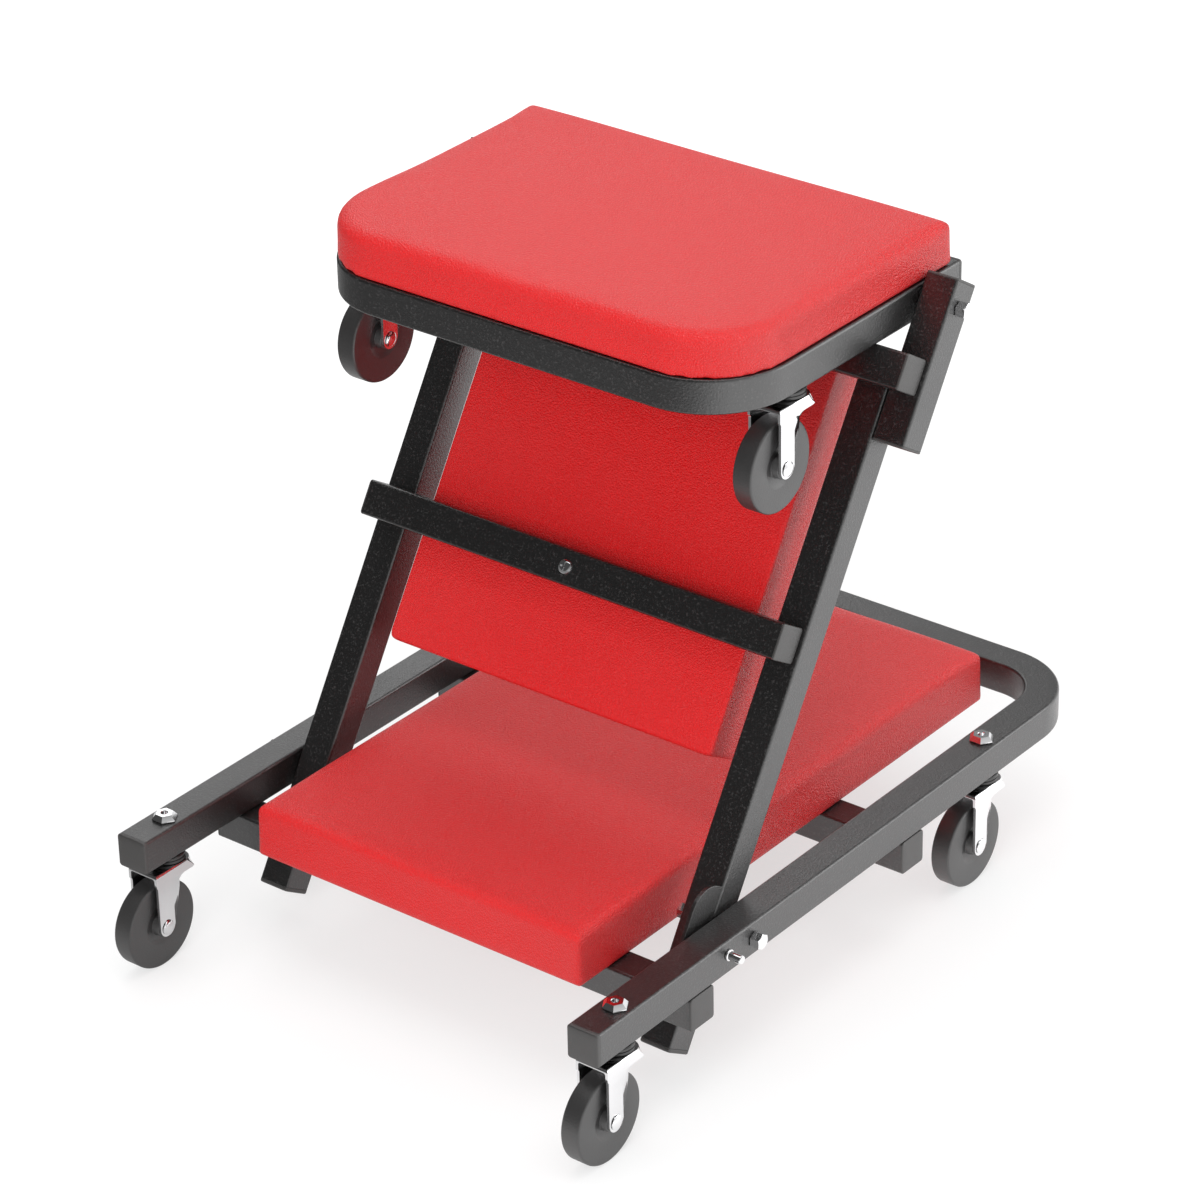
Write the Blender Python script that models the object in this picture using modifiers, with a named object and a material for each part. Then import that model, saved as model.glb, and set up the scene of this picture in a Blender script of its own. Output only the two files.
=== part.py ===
"""Folding mechanic creeper that stands up as a rolling seat.

A base frame on four swivel casters carries a leaning mid section, and the mid section carries a
seat section with two casters of its own. A sprung pin in the right rail locks the mid section to the
base. With the pin pulled, the mid section swings forward and down and the seat swings flat ahead of
it, so that the three pads lie in line as a creeper.

Units are metres, +Z is up and +Y points to the closed back end of the base. The origin lies on the
ground, under the middle of the base. Rest is the seat position.
"""

import math

import bmesh
import bpy
from mathutils import Matrix, Vector

# Fits
TOUCH_GAP = 0.0003
BORE_CLEARANCE = 0.0004
HINGE_GAP = 0.002
FLOOR_CLEARANCE = 0.0032
SWING_CLEARANCE = 0.0026
PAD_MEETING_GAP = 0.004
PAD_SIDE_CLEARANCE = 0.0076
PAD_BACK_CLEARANCE = 0.0127

# Square steel tube and its end plugs
TUBE = 0.025
TUBE_WALL = 0.0015
TUBE_CORNER = 0.002
PLUG_FLANGE = 0.003
PLUG_DEPTH = 0.012

# Base frame, measured from the open front ends of its rails
BASE_WIDTH = 0.416
BASE_LENGTH = 0.5764
BASE_BEND = 0.060
FRONT_CROSSBAR_AT = 0.1107
REAR_CROSSBAR_FROM_BACK = 0.2246
BASE_PIVOT_AT = 0.167
FRONT_CASTER_AT = 0.0347
REAR_CASTER_PAST_BEND = 0.0631
BASE_PAD_AT = 0.0692

# Mid section, measured along its rails from the base pivot
LEAN_ANGLE = math.radians(58.0)
PIVOT_SPAN = 0.4345
MID_CROSSBAR_AT = 0.1912
MID_CROSSBAR_INSET = 0.003
BRACKET_BELOW_PIVOT = 0.0985
BRACKET_ABOVE_PIVOT = 0.0185
BRACKET_BAR_INSET = 0.003

# Seat section, measured from the seat pivot
SEAT_REACH = 0.21455
SEAT_TAIL = 0.04415
SEAT_BEND = 0.062
SEAT_CASTER_PAST_BEND = 0.016
SEAT_PAD_INSET = 0.0094

# Pads
PAD_THICKNESS = 0.0400
SEAT_PAD_THICKNESS = 0.0322
PAD_CROWN = 0.0014
PAD_DRAW_IN = 0.0022
PAD_EDGE = 0.009
SEAT_PAD_EDGE = 0.0095
PAD_CORNER = 0.004
BOARD_THICKNESS = 0.009
BOARD_INSET = 0.026

# Pivot bolts
BOLT_RADIUS = 0.004
BOLT_HEAD_RADIUS = 0.0065
BOLT_HEAD_HEIGHT = 0.0082
BOLT_NUT_RADIUS = 0.0065
BOLT_NUT_HEIGHT = 0.0077

PAD_SCREW_HOLE_RADIUS = 0.0024

# Sprung lock pin and the plate it enters
LOCK_FORWARD = 0.028
LOCK_RISE = 0.002
LOCK_PIN_RADIUS = 0.0033
LOCK_COLLAR_RADIUS = 0.0046
LOCK_COLLAR_LENGTH = 0.0045
LOCK_NECK_RADIUS = 0.0036
LOCK_NECK_LENGTH = 0.0030
LOCK_KNOB_RADIUS = 0.0042
LOCK_KNOB_LENGTH = 0.0036
LOCK_PLATE_THICKNESS = 0.003
LOCK_PLATE_EDGE = 0.0089

# Casters
WHEEL_RADIUS = 0.0325
WHEEL_WIDTH = 0.015
WHEEL_CHAMFER = 0.0022
WHEEL_DISH_RADIUS = 0.0135
WHEEL_DISH_DEPTH = 0.0012
HUB_RADIUS = 0.0078
HUB_REACH = 0.0032
AXLE_RADIUS = 0.004
AXLE_HEAD_RADIUS = 0.0058
AXLE_HEAD_HEIGHT = 0.0016
CASTER_TRAIL = 0.0175
FORK_SHEET = 0.002
FORK_FOOT_RADIUS = 0.007
FORK_STEP_OUT = 0.001
FORK_STEP_DROP = 0.009
FORK_SHOULDER_DROP = 0.0195
FORK_SHOULDER_BACK = 0.0005
CROWN_SHEET = 0.0024
CROWN_BACK = 0.013
CROWN_SKIRT = 0.0085
CROWN_ROUND = 0.009
CROWN_GAP = 0.0086
RACE_RADIUS = 0.0125
RACE_HEIGHT = 0.0054
NECK_RADIUS = 0.006
STEM_HEAD_RADIUS = 0.008
STEM_HEAD_HEIGHT = 0.002
STEM_RADIUS = 0.0042
STEM_SOCKET_RADIUS = 0.0024
STEM_SOCKET_DEPTH = 0.003
CASTER_NUT_RADIUS = 0.0084
CASTER_NUT_TOP_RADIUS = 0.0062
CASTER_NUT_HEIGHT = 0.0042

# Facets
WHEEL_SEGMENTS = 16
ROUND_SEGMENTS = 10
BEND_STEPS = 6
EDGE_STEPS = 3
CORNER_STEPS = 2
ARC_FACET = 0.016
PAD_SLICES_ACROSS = 5
PAD_SLICES_ALONG = 7
HEX_SIDES = 6
MERGE = 0.00001
OVERRUN = 0.002
FACING = math.cos(math.radians(25.0))
ROUND_PROFILE = 1 / 2
EDGE_BIAS = 7

# Places that follow from the sizes above
CROWN_TOP = 2 * WHEEL_RADIUS + CROWN_GAP + CROWN_SHEET
RAIL_UNDERSIDE = CROWN_TOP + RACE_HEIGHT + 2 * TOUCH_GAP
RAIL_HEIGHT = RAIL_UNDERSIDE + TUBE / 2
BASE_FRONT_REACH = FRONT_CASTER_AT - CASTER_TRAIL - WHEEL_RADIUS
BASE_MIDDLE = (BASE_FRONT_REACH + BASE_LENGTH) / 2
BASE_RAIL_X = BASE_WIDTH / 2 - TUBE / 2
MID_RAIL_X = BASE_RAIL_X - TUBE - HINGE_GAP
BRACKET_X = MID_RAIL_X + TUBE + TOUCH_GAP
SEAT_RAIL_X = BRACKET_X - TUBE - HINGE_GAP
STACK = TUBE + TOUCH_GAP
PLUG_END = PLUG_FLANGE + TOUCH_GAP
PLUG_SIDE = TUBE - 2 * (TUBE_WALL + TOUCH_GAP)
PAD_HALF_WIDTH = MID_RAIL_X - TUBE / 2 - TOUCH_GAP - BOLT_NUT_HEIGHT - PAD_SIDE_CLEARANCE
SEAT_PAD_HALF_WIDTH = SEAT_RAIL_X + TUBE / 2
BASE_PAD_BACK = BASE_LENGTH - TUBE - PAD_BACK_CLEARANCE
SEAT_PAD_BACK = SEAT_TAIL - SEAT_PAD_INSET
MID_PAD_START = BASE_PIVOT_AT - BASE_PAD_AT + PAD_MEETING_GAP
MID_PAD_END = PIVOT_SPAN - SEAT_PAD_BACK - PAD_MEETING_GAP
MID_RAIL_END = PIVOT_SPAN - math.hypot(SEAT_TAIL, TUBE / 2) - SWING_CLEARANCE
TAIL_REACH = math.sqrt((RAIL_HEIGHT - FLOOR_CLEARANCE) ** 2 - (TUBE / 2) ** 2)
LOCK_HOLE_RADIUS = LOCK_PIN_RADIUS + BORE_CLEARANCE
LOCK_PLATE_CORNER = LOCK_HOLE_RADIUS + LOCK_PLATE_EDGE
FORK_INNER = WHEEL_WIDTH / 2 + HUB_REACH + TOUCH_GAP
FORK_OUTER = FORK_INNER + FORK_SHEET
SIDES = {"left": -1, "right": 1}
LOCK_SIDE = SIDES["right"]

# Finishes: colour, roughness, metallic
BLACK_COAT = ((0.012, 0.011, 0.011), 0.42, 0.0)
RED_VINYL = ((0.62, 0.014, 0.018), 0.48, 0.0)
BLACK_PLASTIC = ((0.025, 0.023, 0.022), 0.55, 0.0)
BLACK_RUBBER = ((0.020, 0.019, 0.019), 0.50, 0.0)
CHROME = ((0.82, 0.82, 0.83), 0.10, 1.0)
DARK_STEEL = ((0.10, 0.10, 0.10), 0.40, 0.9)


def clear_scene():
    """Remove every object, so that the model starts from nothing."""
    for old in list(bpy.data.objects):
        bpy.data.objects.remove(old, do_unlink=True)


def new_collection(name):
    """Make a collection in the scene."""
    collection = bpy.data.collections.new(name)
    bpy.context.scene.collection.children.link(collection)
    return collection


clear_scene()
PARTS = new_collection("mechanic_creeper")
CUTTERS = new_collection("mechanic_creeper_cutters")


def datum(name, parent=None, location=(0, 0, 0), rotation=(0, 0, 0)):
    """Empty that carries the pieces of one section or one pivot."""
    empty = bpy.data.objects.new(name, None)
    empty.parent = parent
    empty.location = location
    empty.rotation_euler = rotation
    empty.empty_display_size = TUBE
    PARTS.objects.link(empty)
    return empty


def add_part(name, mesh, finish, parent, location=(0, 0, 0), rotation=(0, 0, 0)):
    """Place a mesh as a named piece with its own material."""
    piece = bpy.data.objects.new(name, mesh)
    piece.parent = parent
    piece.location = location
    piece.rotation_euler = rotation
    PARTS.objects.link(piece)
    colour, roughness, metallic = finish
    material = bpy.data.materials.new(name + "_finish")
    material.use_nodes = True
    shader = material.node_tree.nodes["Principled BSDF"]
    shader.inputs["Base Color"].default_value = (*colour, 1.0)
    shader.inputs["Roughness"].default_value = roughness
    shader.inputs["Metallic"].default_value = metallic
    mesh.materials.append(material)
    return piece


def combine(piece, mesh, operation):
    """Cut a mesh out of a piece, or join it to the piece; the mesh is in the piece's own frame."""
    count = len(piece.modifiers) + 1
    cutter = bpy.data.objects.new(f"{piece.name}_cutter_{count}", mesh)
    cutter.parent = piece.parent
    cutter.location = piece.location
    cutter.rotation_euler = piece.rotation_euler
    cutter.hide_render = True
    cutter.display_type = "WIRE"
    CUTTERS.objects.link(cutter)
    modifier = piece.modifiers.new(f"{operation.lower()}_{count}", "BOOLEAN")
    modifier.operation = operation
    modifier.solver = "EXACT"
    modifier.object = cutter


def mesh_from_shape(name, shape):
    """Turn a bmesh into a mesh and free it."""
    mesh = bpy.data.meshes.new(name)
    shape.to_mesh(mesh)
    shape.free()
    return mesh


def axis_matrix(axis):
    """Rotation that turns +Z to the named axis."""
    turns = {"X": Matrix.Rotation(math.pi / 2, 4, "Y"), "Y": Matrix.Rotation(-math.pi / 2, 4, "X")}
    return turns.get(axis, Matrix.Identity(4))


def add_cylinder(shape, centre, axis, radius, length, segments=ROUND_SEGMENTS, top_radius=None):
    """Add a cylinder, prism or cone to a bmesh, centred on a point."""
    place = Matrix.Translation(Vector(centre)) @ axis_matrix(axis)
    bmesh.ops.create_cone(shape, cap_ends=True, segments=segments, radius1=radius,
                          radius2=radius if top_radius is None else top_radius,
                          depth=length, matrix=place)


def drill(piece, holes):
    """Drill round holes, each given by its centre, axis, radius and length."""
    shape = bmesh.new()
    for centre, axis, radius, length in holes:
        add_cylinder(shape, centre, axis, radius, length)
    combine(piece, mesh_from_shape(piece.name + "_holes", shape), "DIFFERENCE")


def box_mesh(name, low, high):
    """Box between two corners."""
    shape = bmesh.new()
    size = [b - a for a, b in zip(low, high)]
    middle = [(a + b) / 2 for a, b in zip(low, high)]
    bmesh.ops.create_cube(shape, size=1.0, matrix=Matrix.Translation(middle) @ Matrix.Diagonal((*size, 1)))
    return mesh_from_shape(name, shape)


def arc(centre, radius, start, end, steps):
    """Points along an arc, both ends included."""
    turn = (end - start) / steps
    angles = [start + turn * step for step in range(steps + 1)]
    return [(centre[0] + radius * math.cos(a), centre[1] + radius * math.sin(a)) for a in angles]


def rounded_outline(half_width, front, back, front_radius, back_radius):
    """Closed outline of a rectangle with rounded corners, anticlockwise from its front left corner."""
    corners = [(-1, front + front_radius, front_radius), (1, front + front_radius, front_radius),
               (1, back - back_radius, back_radius), (-1, back - back_radius, back_radius)]
    outline = []
    for quarter, (side, y, radius) in enumerate(corners):
        centre = (side * (half_width - radius), y)
        start = math.pi + quarter * math.pi / 2
        steps = max(CORNER_STEPS, round(radius * math.pi / 2 / ARC_FACET))
        outline += arc(centre, radius, start, start + math.pi / 2, steps) if radius else [centre]
    return outline


def add_spline(curve, points, closed):
    """Add a straight-line spline through points of two or three coordinates."""
    spline = curve.splines.new("POLY")
    spline.points.add(len(points) - 1)
    for target, point in zip(spline.points, points):
        target.co = (*point, *[0.0] * (3 - len(point)), 1.0)
    spline.use_cyclic_u = closed


def mesh_from_curve(curve):
    """Turn a curve into a closed mesh and remove the curve."""
    guide = bpy.data.objects.new(curve.name, curve)
    CUTTERS.objects.link(guide)
    graph = bpy.context.evaluated_depsgraph_get()
    mesh = bpy.data.meshes.new_from_object(guide.evaluated_get(graph))
    bpy.data.objects.remove(guide)
    shape = bmesh.new()
    shape.from_mesh(mesh)
    bmesh.ops.remove_doubles(shape, verts=shape.verts, dist=MERGE)
    bmesh.ops.recalc_face_normals(shape, faces=shape.faces)
    shape.to_mesh(mesh)
    shape.free()
    return mesh


def flat_mesh(name, outline, thickness):
    """Flat outline in the XY plane, given a thickness about that plane."""
    curve = bpy.data.curves.new(name, "CURVE")
    curve.dimensions = "2D"
    curve.fill_mode = "BOTH"
    curve.extrude = thickness / 2
    add_spline(curve, outline, closed=True)
    return mesh_from_curve(curve)


def swept_square(name, path, side, corner):
    """Square section swept along a path, with upright sides."""
    profile = bpy.data.curves.new(name + "_profile", "CURVE")
    profile.dimensions = "2D"
    profile.fill_mode = "NONE"
    add_spline(profile, rounded_outline(side / 2, -side / 2, side / 2, corner, corner), closed=True)
    section = bpy.data.objects.new(name + "_profile", profile)
    CUTTERS.objects.link(section)
    curve = bpy.data.curves.new(name, "CURVE")
    curve.dimensions = "3D"
    curve.twist_mode = "Z_UP"
    curve.bevel_mode = "OBJECT"
    curve.bevel_object = section
    curve.use_fill_caps = True
    add_spline(curve, path, closed=False)
    mesh = mesh_from_curve(curve)
    bpy.data.objects.remove(section)
    return mesh


def bore_path(path, capped):
    """Path of a tube's bore, run on past an open end and stopped a wall short of a capped one.

    Capped says so of the first and of the last end.
    """
    points = [Vector((*point, *[0.0] * (3 - len(point)))) for point in path]
    first_way = (points[0] - points[1]).normalized()
    last_way = (points[-1] - points[-2]).normalized()
    first_run, last_run = [-TUBE_WALL if cap else OVERRUN for cap in capped]
    return [points[0] + first_way * first_run, *points[1:-1], points[-1] + last_way * last_run]


def square_tube(name, path, parent, location=(0, 0, 0), capped=(False, False)):
    """Hollow square tube along a path, open at its ends or capped there."""
    tube = add_part(name, swept_square(name, path, TUBE, TUBE_CORNER), BLACK_COAT, parent, location)
    bore = swept_square(name + "_bore", bore_path(path, capped), TUBE - 2 * TUBE_WALL, 0.0)
    combine(tube, bore, "DIFFERENCE")
    return tube


def crossbar(name, half_length, parent, location):
    """Capped tube across two rails, with the hole for a pad screw in its middle, which also vents it."""
    ends = [(-half_length, 0), (half_length, 0)]
    bar = square_tube(name, ends, parent, location, (True, True))
    drill(bar, [((0, 0, 0), "Z", PAD_SCREW_HOLE_RADIUS, TUBE + 2 * OVERRUN)])


def bent_path(rail_x, open_end, closed_end, bend):
    """Path of a U frame: two rails along Y joined across their closed end by two bends."""
    way = 1 if closed_end > open_end else -1
    radius = bend - TUBE / 2
    turn_y = closed_end - way * radius
    right = arc((rail_x - radius, turn_y), radius, 0.0, way * math.pi / 2, BEND_STEPS)
    left = [(-x, y) for x, y in reversed(right)]
    return [(rail_x, open_end), *right, *left, (-rail_x, open_end)]


def end_plug(name, parent, location, facing):
    """Plastic plug in a tube end: a flange that covers the end and a block inside the tube.

    The flange faces along facing (+1 or -1) on Y, and the location is its outer face.
    """
    shape = bmesh.new()
    middle = Matrix.Translation((0, -PLUG_FLANGE / 2, 0))
    bmesh.ops.create_cube(shape, size=1.0, matrix=middle @ Matrix.Diagonal((TUBE, PLUG_FLANGE, TUBE, 1)))
    inner = [face for face in shape.faces if face.normal.y < -FACING]
    bmesh.ops.inset_region(shape, faces=inner, thickness=(TUBE - PLUG_SIDE) / 2, use_even_offset=True)
    pushed = bmesh.ops.extrude_face_region(shape, geom=inner)
    bmesh.ops.delete(shape, geom=inner, context="FACES_ONLY")
    moved = [item for item in pushed["geom"] if isinstance(item, bmesh.types.BMVert)]
    bmesh.ops.translate(shape, verts=moved, vec=(0, -PLUG_DEPTH, 0))
    bmesh.ops.recalc_face_normals(shape, faces=shape.faces)
    turn = (0, 0, 0 if facing > 0 else math.pi)
    add_part(name, mesh_from_shape(name, shape), BLACK_PLASTIC, parent, location, turn)


def turned(name, profile, finish, parent, location=(0, 0, 0), rotation=(0, 0, 0),
           segments=ROUND_SEGMENTS, ring=False):
    """Turned piece: a profile of radius and height, run from top to bottom, spun about Z.

    The profile starts half a facet round, so that a flat and not an edge faces along X and Y.
    """
    shape = bmesh.new()
    start = math.pi / segments
    points = [shape.verts.new((r * math.cos(start), r * math.sin(start), z)) for r, z in profile]
    for upper, lower in zip(points, points[1:]):
        shape.edges.new((upper, lower))
    if ring:
        shape.edges.new((points[-1], points[0]))
    piece = add_part(name, mesh_from_shape(name, shape), finish, parent, location, rotation)
    screw = piece.modifiers.new("turn", "SCREW")
    screw.steps = segments
    screw.render_steps = segments
    screw.use_merge_vertices = True
    screw.merge_threshold = MERGE
    screw.use_smooth_shade = True
    return piece


def cushion(name, outline, thickness, edge, parent, location, turn=(0, 0, 0)):
    """Upholstered pad with a crowned top, a rounded top edge and sides drawn in between its corners.

    The outline is in the XY plane, and the pad stands on it.
    """
    shape = bmesh.new()
    shape.from_mesh(flat_mesh(name, outline, thickness - PAD_CROWN))
    bmesh.ops.translate(shape, verts=shape.verts, vec=(0, 0, (thickness - PAD_CROWN) / 2))
    for way in (-1, 1):
        flats = [face for face in shape.faces if face.normal.z * way > FACING]
        bmesh.ops.dissolve_faces(shape, faces=flats)
    top = next(face for face in shape.faces if face.normal.z > FACING)
    bmesh.ops.bevel(shape, geom=list(top.edges), offset=edge, segments=EDGE_STEPS, profile=ROUND_PROFILE,
                    affect="EDGES")
    low = Vector([min(vert.co[k] for vert in shape.verts) for k in range(3)])
    high = Vector([max(vert.co[k] for vert in shape.verts) for k in range(3)])
    middle = (low + high) / 2
    half = (high - low) / 2
    cuts = [((low.x + (high.x - low.x) * k / PAD_SLICES_ACROSS, 0, 0), (1, 0, 0))
            for k in range(1, PAD_SLICES_ACROSS)]
    cuts += [((0, low.y + (high.y - low.y) * k / PAD_SLICES_ALONG, 0), (0, 1, 0))
             for k in range(1, PAD_SLICES_ALONG)]
    cuts.append(((0, 0, (high.z - edge) / 2), (0, 0, 1)))
    for point, normal in cuts:
        everything = [*shape.verts, *shape.edges, *shape.faces]
        bmesh.ops.bisect_plane(shape, geom=everything, dist=MERGE, plane_co=point, plane_no=normal)
    for vert in shape.verts:
        across = (vert.co.x - middle.x) / half.x
        along = (vert.co.y - middle.y) / half.y
        rise = vert.co.z / high.z
        swell_across = max(0.0, 1 - across ** 2)
        swell_along = max(0.0, 1 - along ** 2)
        pull = PAD_DRAW_IN * math.sin(math.pi * rise)
        vert.co.x -= pull * swell_along * across ** EDGE_BIAS
        vert.co.y -= pull * swell_across * along ** EDGE_BIAS
        if rise > 1 - MERGE:
            vert.co.z += PAD_CROWN * swell_across * swell_along
    return add_part(name, mesh_from_shape(name, shape), RED_VINYL, parent, location, turn)


def padded_board(name, frame_name, size, parent, location, turn=(0, 0, 0)):
    """Pad and the board let into its underside; the cover wraps both.

    The size holds the half width, front, back, front and back corner radius, thickness and edge.
    """
    half_width, front, back, front_radius, back_radius, thickness, edge = size
    outline = rounded_outline(half_width, front, back, front_radius, back_radius)
    pad = cushion(name, outline, thickness, edge, parent, location, turn)
    board = (half_width - BOARD_INSET, front + BOARD_INSET, back - BOARD_INSET,
             max(front_radius - BOARD_INSET, PAD_CORNER), max(back_radius - BOARD_INSET, PAD_CORNER))
    plate = flat_mesh(frame_name, rounded_outline(*board), BOARD_THICKNESS)
    plate.transform(Matrix.Translation((0, 0, BOARD_THICKNESS / 2)))
    add_part(frame_name, plate, RED_VINYL, parent, location, turn)
    pocket_depth = BOARD_THICKNESS + TOUCH_GAP
    room = (board[0] + TOUCH_GAP, board[1] - TOUCH_GAP, board[2] + TOUCH_GAP, board[3], board[4])
    pocket = flat_mesh(name + "_pocket", rounded_outline(*room), pocket_depth + OVERRUN)
    pocket.transform(Matrix.Translation((0, 0, (pocket_depth - OVERRUN) / 2)))
    combine(pad, pocket, "DIFFERENCE")
    return pad


def pivot_bolt(name, side, outer_x, inner_x, parent, location):
    """Hex bolt along X with its nut: the head bears on outer_x and the nut on inner_x."""
    shape = bmesh.new()
    head_end = outer_x + TOUCH_GAP + BOLT_HEAD_HEIGHT
    nut_end = inner_x - TOUCH_GAP - BOLT_NUT_HEIGHT
    low = nut_end + OVERRUN
    high = head_end - OVERRUN
    add_cylinder(shape, (side * (low + high) / 2, 0, 0), "X", BOLT_RADIUS, high - low)
    bolt = add_part(name, mesh_from_shape(name, shape), CHROME, parent, location)
    ends = [(head_end - BOLT_HEAD_HEIGHT / 2, BOLT_HEAD_RADIUS, BOLT_HEAD_HEIGHT),
            (nut_end + BOLT_NUT_HEIGHT / 2, BOLT_NUT_RADIUS, BOLT_NUT_HEIGHT)]
    for x, radius, height in ends:
        shape = bmesh.new()
        add_cylinder(shape, (side * x, 0, 0), "X", radius, height, segments=HEX_SIDES)
        combine(bolt, mesh_from_shape(name + "_end", shape), "UNION")


def caster(place, parent, location):
    """One swivel caster under a rail; the location is on the rail's underside."""
    stem_top = TUBE + TOUCH_GAP + CASTER_NUT_HEIGHT - TUBE_WALL
    race_top = -TOUCH_GAP
    race_low = race_top - RACE_HEIGHT
    crown_top = CROWN_TOP - RAIL_UNDERSIDE
    crown_low = crown_top - CROWN_SHEET
    head_top = crown_low - TOUCH_GAP
    stem = [(0, stem_top - STEM_SOCKET_DEPTH), (STEM_SOCKET_RADIUS, stem_top - STEM_SOCKET_DEPTH),
            (STEM_SOCKET_RADIUS, stem_top), (STEM_RADIUS, stem_top), (STEM_RADIUS, race_top),
            (RACE_RADIUS, race_top), (RACE_RADIUS, race_low), (NECK_RADIUS, race_low),
            (NECK_RADIUS, head_top), (STEM_HEAD_RADIUS, head_top),
            (STEM_HEAD_RADIUS, head_top - STEM_HEAD_HEIGHT), (0, head_top - STEM_HEAD_HEIGHT)]
    turned("caster_stem_" + place, stem, DARK_STEEL, parent, location)
    caster_nut("caster_nut_" + place, parent, location)
    swivel = datum("swivel_" + place, parent, location)
    axle_at = (0, -CASTER_TRAIL, WHEEL_RADIUS - RAIL_UNDERSIDE)
    caster_fork("caster_fork_" + place, swivel, crown_top, axle_at)
    sideways = (0, math.pi / 2, 0)
    reach = FORK_OUTER + TOUCH_GAP
    axle = [(0, reach + AXLE_HEAD_HEIGHT), (AXLE_HEAD_RADIUS, reach + AXLE_HEAD_HEIGHT),
            (AXLE_HEAD_RADIUS, reach), (AXLE_RADIUS, reach)]
    axle += [(radius, -x) for radius, x in reversed(axle)]
    turned("caster_axle_" + place, axle, CHROME, swivel, axle_at, sideways)
    half = WHEEL_WIDTH / 2
    flat = 1 / math.cos(math.pi / WHEEL_SEGMENTS)
    bore = (AXLE_RADIUS + BORE_CLEARANCE) * flat
    hub = half + HUB_REACH
    dish = half - WHEEL_DISH_DEPTH
    upper = [(bore, hub), (HUB_RADIUS, hub), (HUB_RADIUS, dish), (WHEEL_DISH_RADIUS, dish),
             (WHEEL_DISH_RADIUS + WHEEL_DISH_DEPTH, half), (WHEEL_RADIUS * flat - WHEEL_CHAMFER, half),
             (WHEEL_RADIUS * flat, half - WHEEL_CHAMFER)]
    wheel = upper + [(radius, -x) for radius, x in reversed(upper)]
    turned("caster_wheel_" + place, wheel, BLACK_RUBBER, swivel, axle_at, sideways,
           segments=WHEEL_SEGMENTS, ring=True)


def caster_nut(name, parent, location):
    """Chamfered hex nut on top of the rail, round the stem."""
    shape = bmesh.new()
    centre = (0, 0, TUBE + TOUCH_GAP + CASTER_NUT_HEIGHT / 2)
    add_cylinder(shape, centre, "Z", CASTER_NUT_RADIUS, CASTER_NUT_HEIGHT, segments=HEX_SIDES,
                 top_radius=CASTER_NUT_TOP_RADIUS)
    nut = add_part(name, mesh_from_shape(name, shape), CHROME, parent, location)
    drill(nut, [(centre, "Z", STEM_RADIUS + BORE_CLEARANCE, CASTER_NUT_HEIGHT + 2 * OVERRUN)])


def caster_fork(name, swivel, crown_top, axle_at):
    """Pressed fork: a crown with a rear skirt, and two legs that narrow to a round foot at the axle."""
    axle = (axle_at[1], axle_at[2] - crown_top)
    front = axle[0] - FORK_FOOT_RADIUS
    shoulder = (FORK_SHOULDER_BACK, -FORK_SHOULDER_DROP)
    span = (shoulder[0] - axle[0], shoulder[1] - axle[1])
    leave = math.atan2(span[1], span[0]) - math.acos(FORK_FOOT_RADIUS / math.hypot(*span))
    outline = [(front - FORK_STEP_OUT, 0), (front - FORK_STEP_OUT, -FORK_STEP_DROP),
               (front, -FORK_STEP_DROP - FORK_STEP_OUT)]
    outline += arc(axle, FORK_FOOT_RADIUS, math.pi, 2 * math.pi + leave, BEND_STEPS)
    outline += [shoulder, (FORK_SHOULDER_BACK, -CROWN_SKIRT), (CROWN_BACK, -CROWN_SKIRT), (CROWN_BACK, 0)]
    shape = bmesh.new()
    shape.from_mesh(flat_mesh(name, outline, 2 * FORK_OUTER))
    rear = [edge for edge in shape.edges
            if all(vert.co.x > CROWN_BACK - MERGE for vert in edge.verts)
            and abs(edge.verts[0].co.z - edge.verts[1].co.z) < MERGE]
    bmesh.ops.bevel(shape, geom=rear, offset=CROWN_ROUND, segments=EDGE_STEPS, profile=ROUND_PROFILE,
                    affect="EDGES")
    upright = Matrix(((0, 0, 1, 0), (1, 0, 0, 0), (0, 1, 0, crown_top), (0, 0, 0, 1)))
    bmesh.ops.transform(shape, matrix=upright, verts=shape.verts)
    fork = add_part(name, mesh_from_shape(name, shape), CHROME, swivel)
    slot_front = front - FORK_STEP_OUT - OVERRUN
    slot = box_mesh(name + "_slot", (-FORK_INNER, slot_front, -RAIL_UNDERSIDE),
                    (FORK_INNER, CROWN_BACK + OVERRUN, crown_top - CROWN_SHEET))
    combine(fork, slot, "DIFFERENCE")
    drill(fork, [((0, 0, crown_top), "Z", NECK_RADIUS + BORE_CLEARANCE, 2 * (CROWN_SHEET + OVERRUN)),
                 (axle_at, "X", AXLE_RADIUS + BORE_CLEARANCE, 2 * FORK_OUTER + 2 * OVERRUN)])


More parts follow.
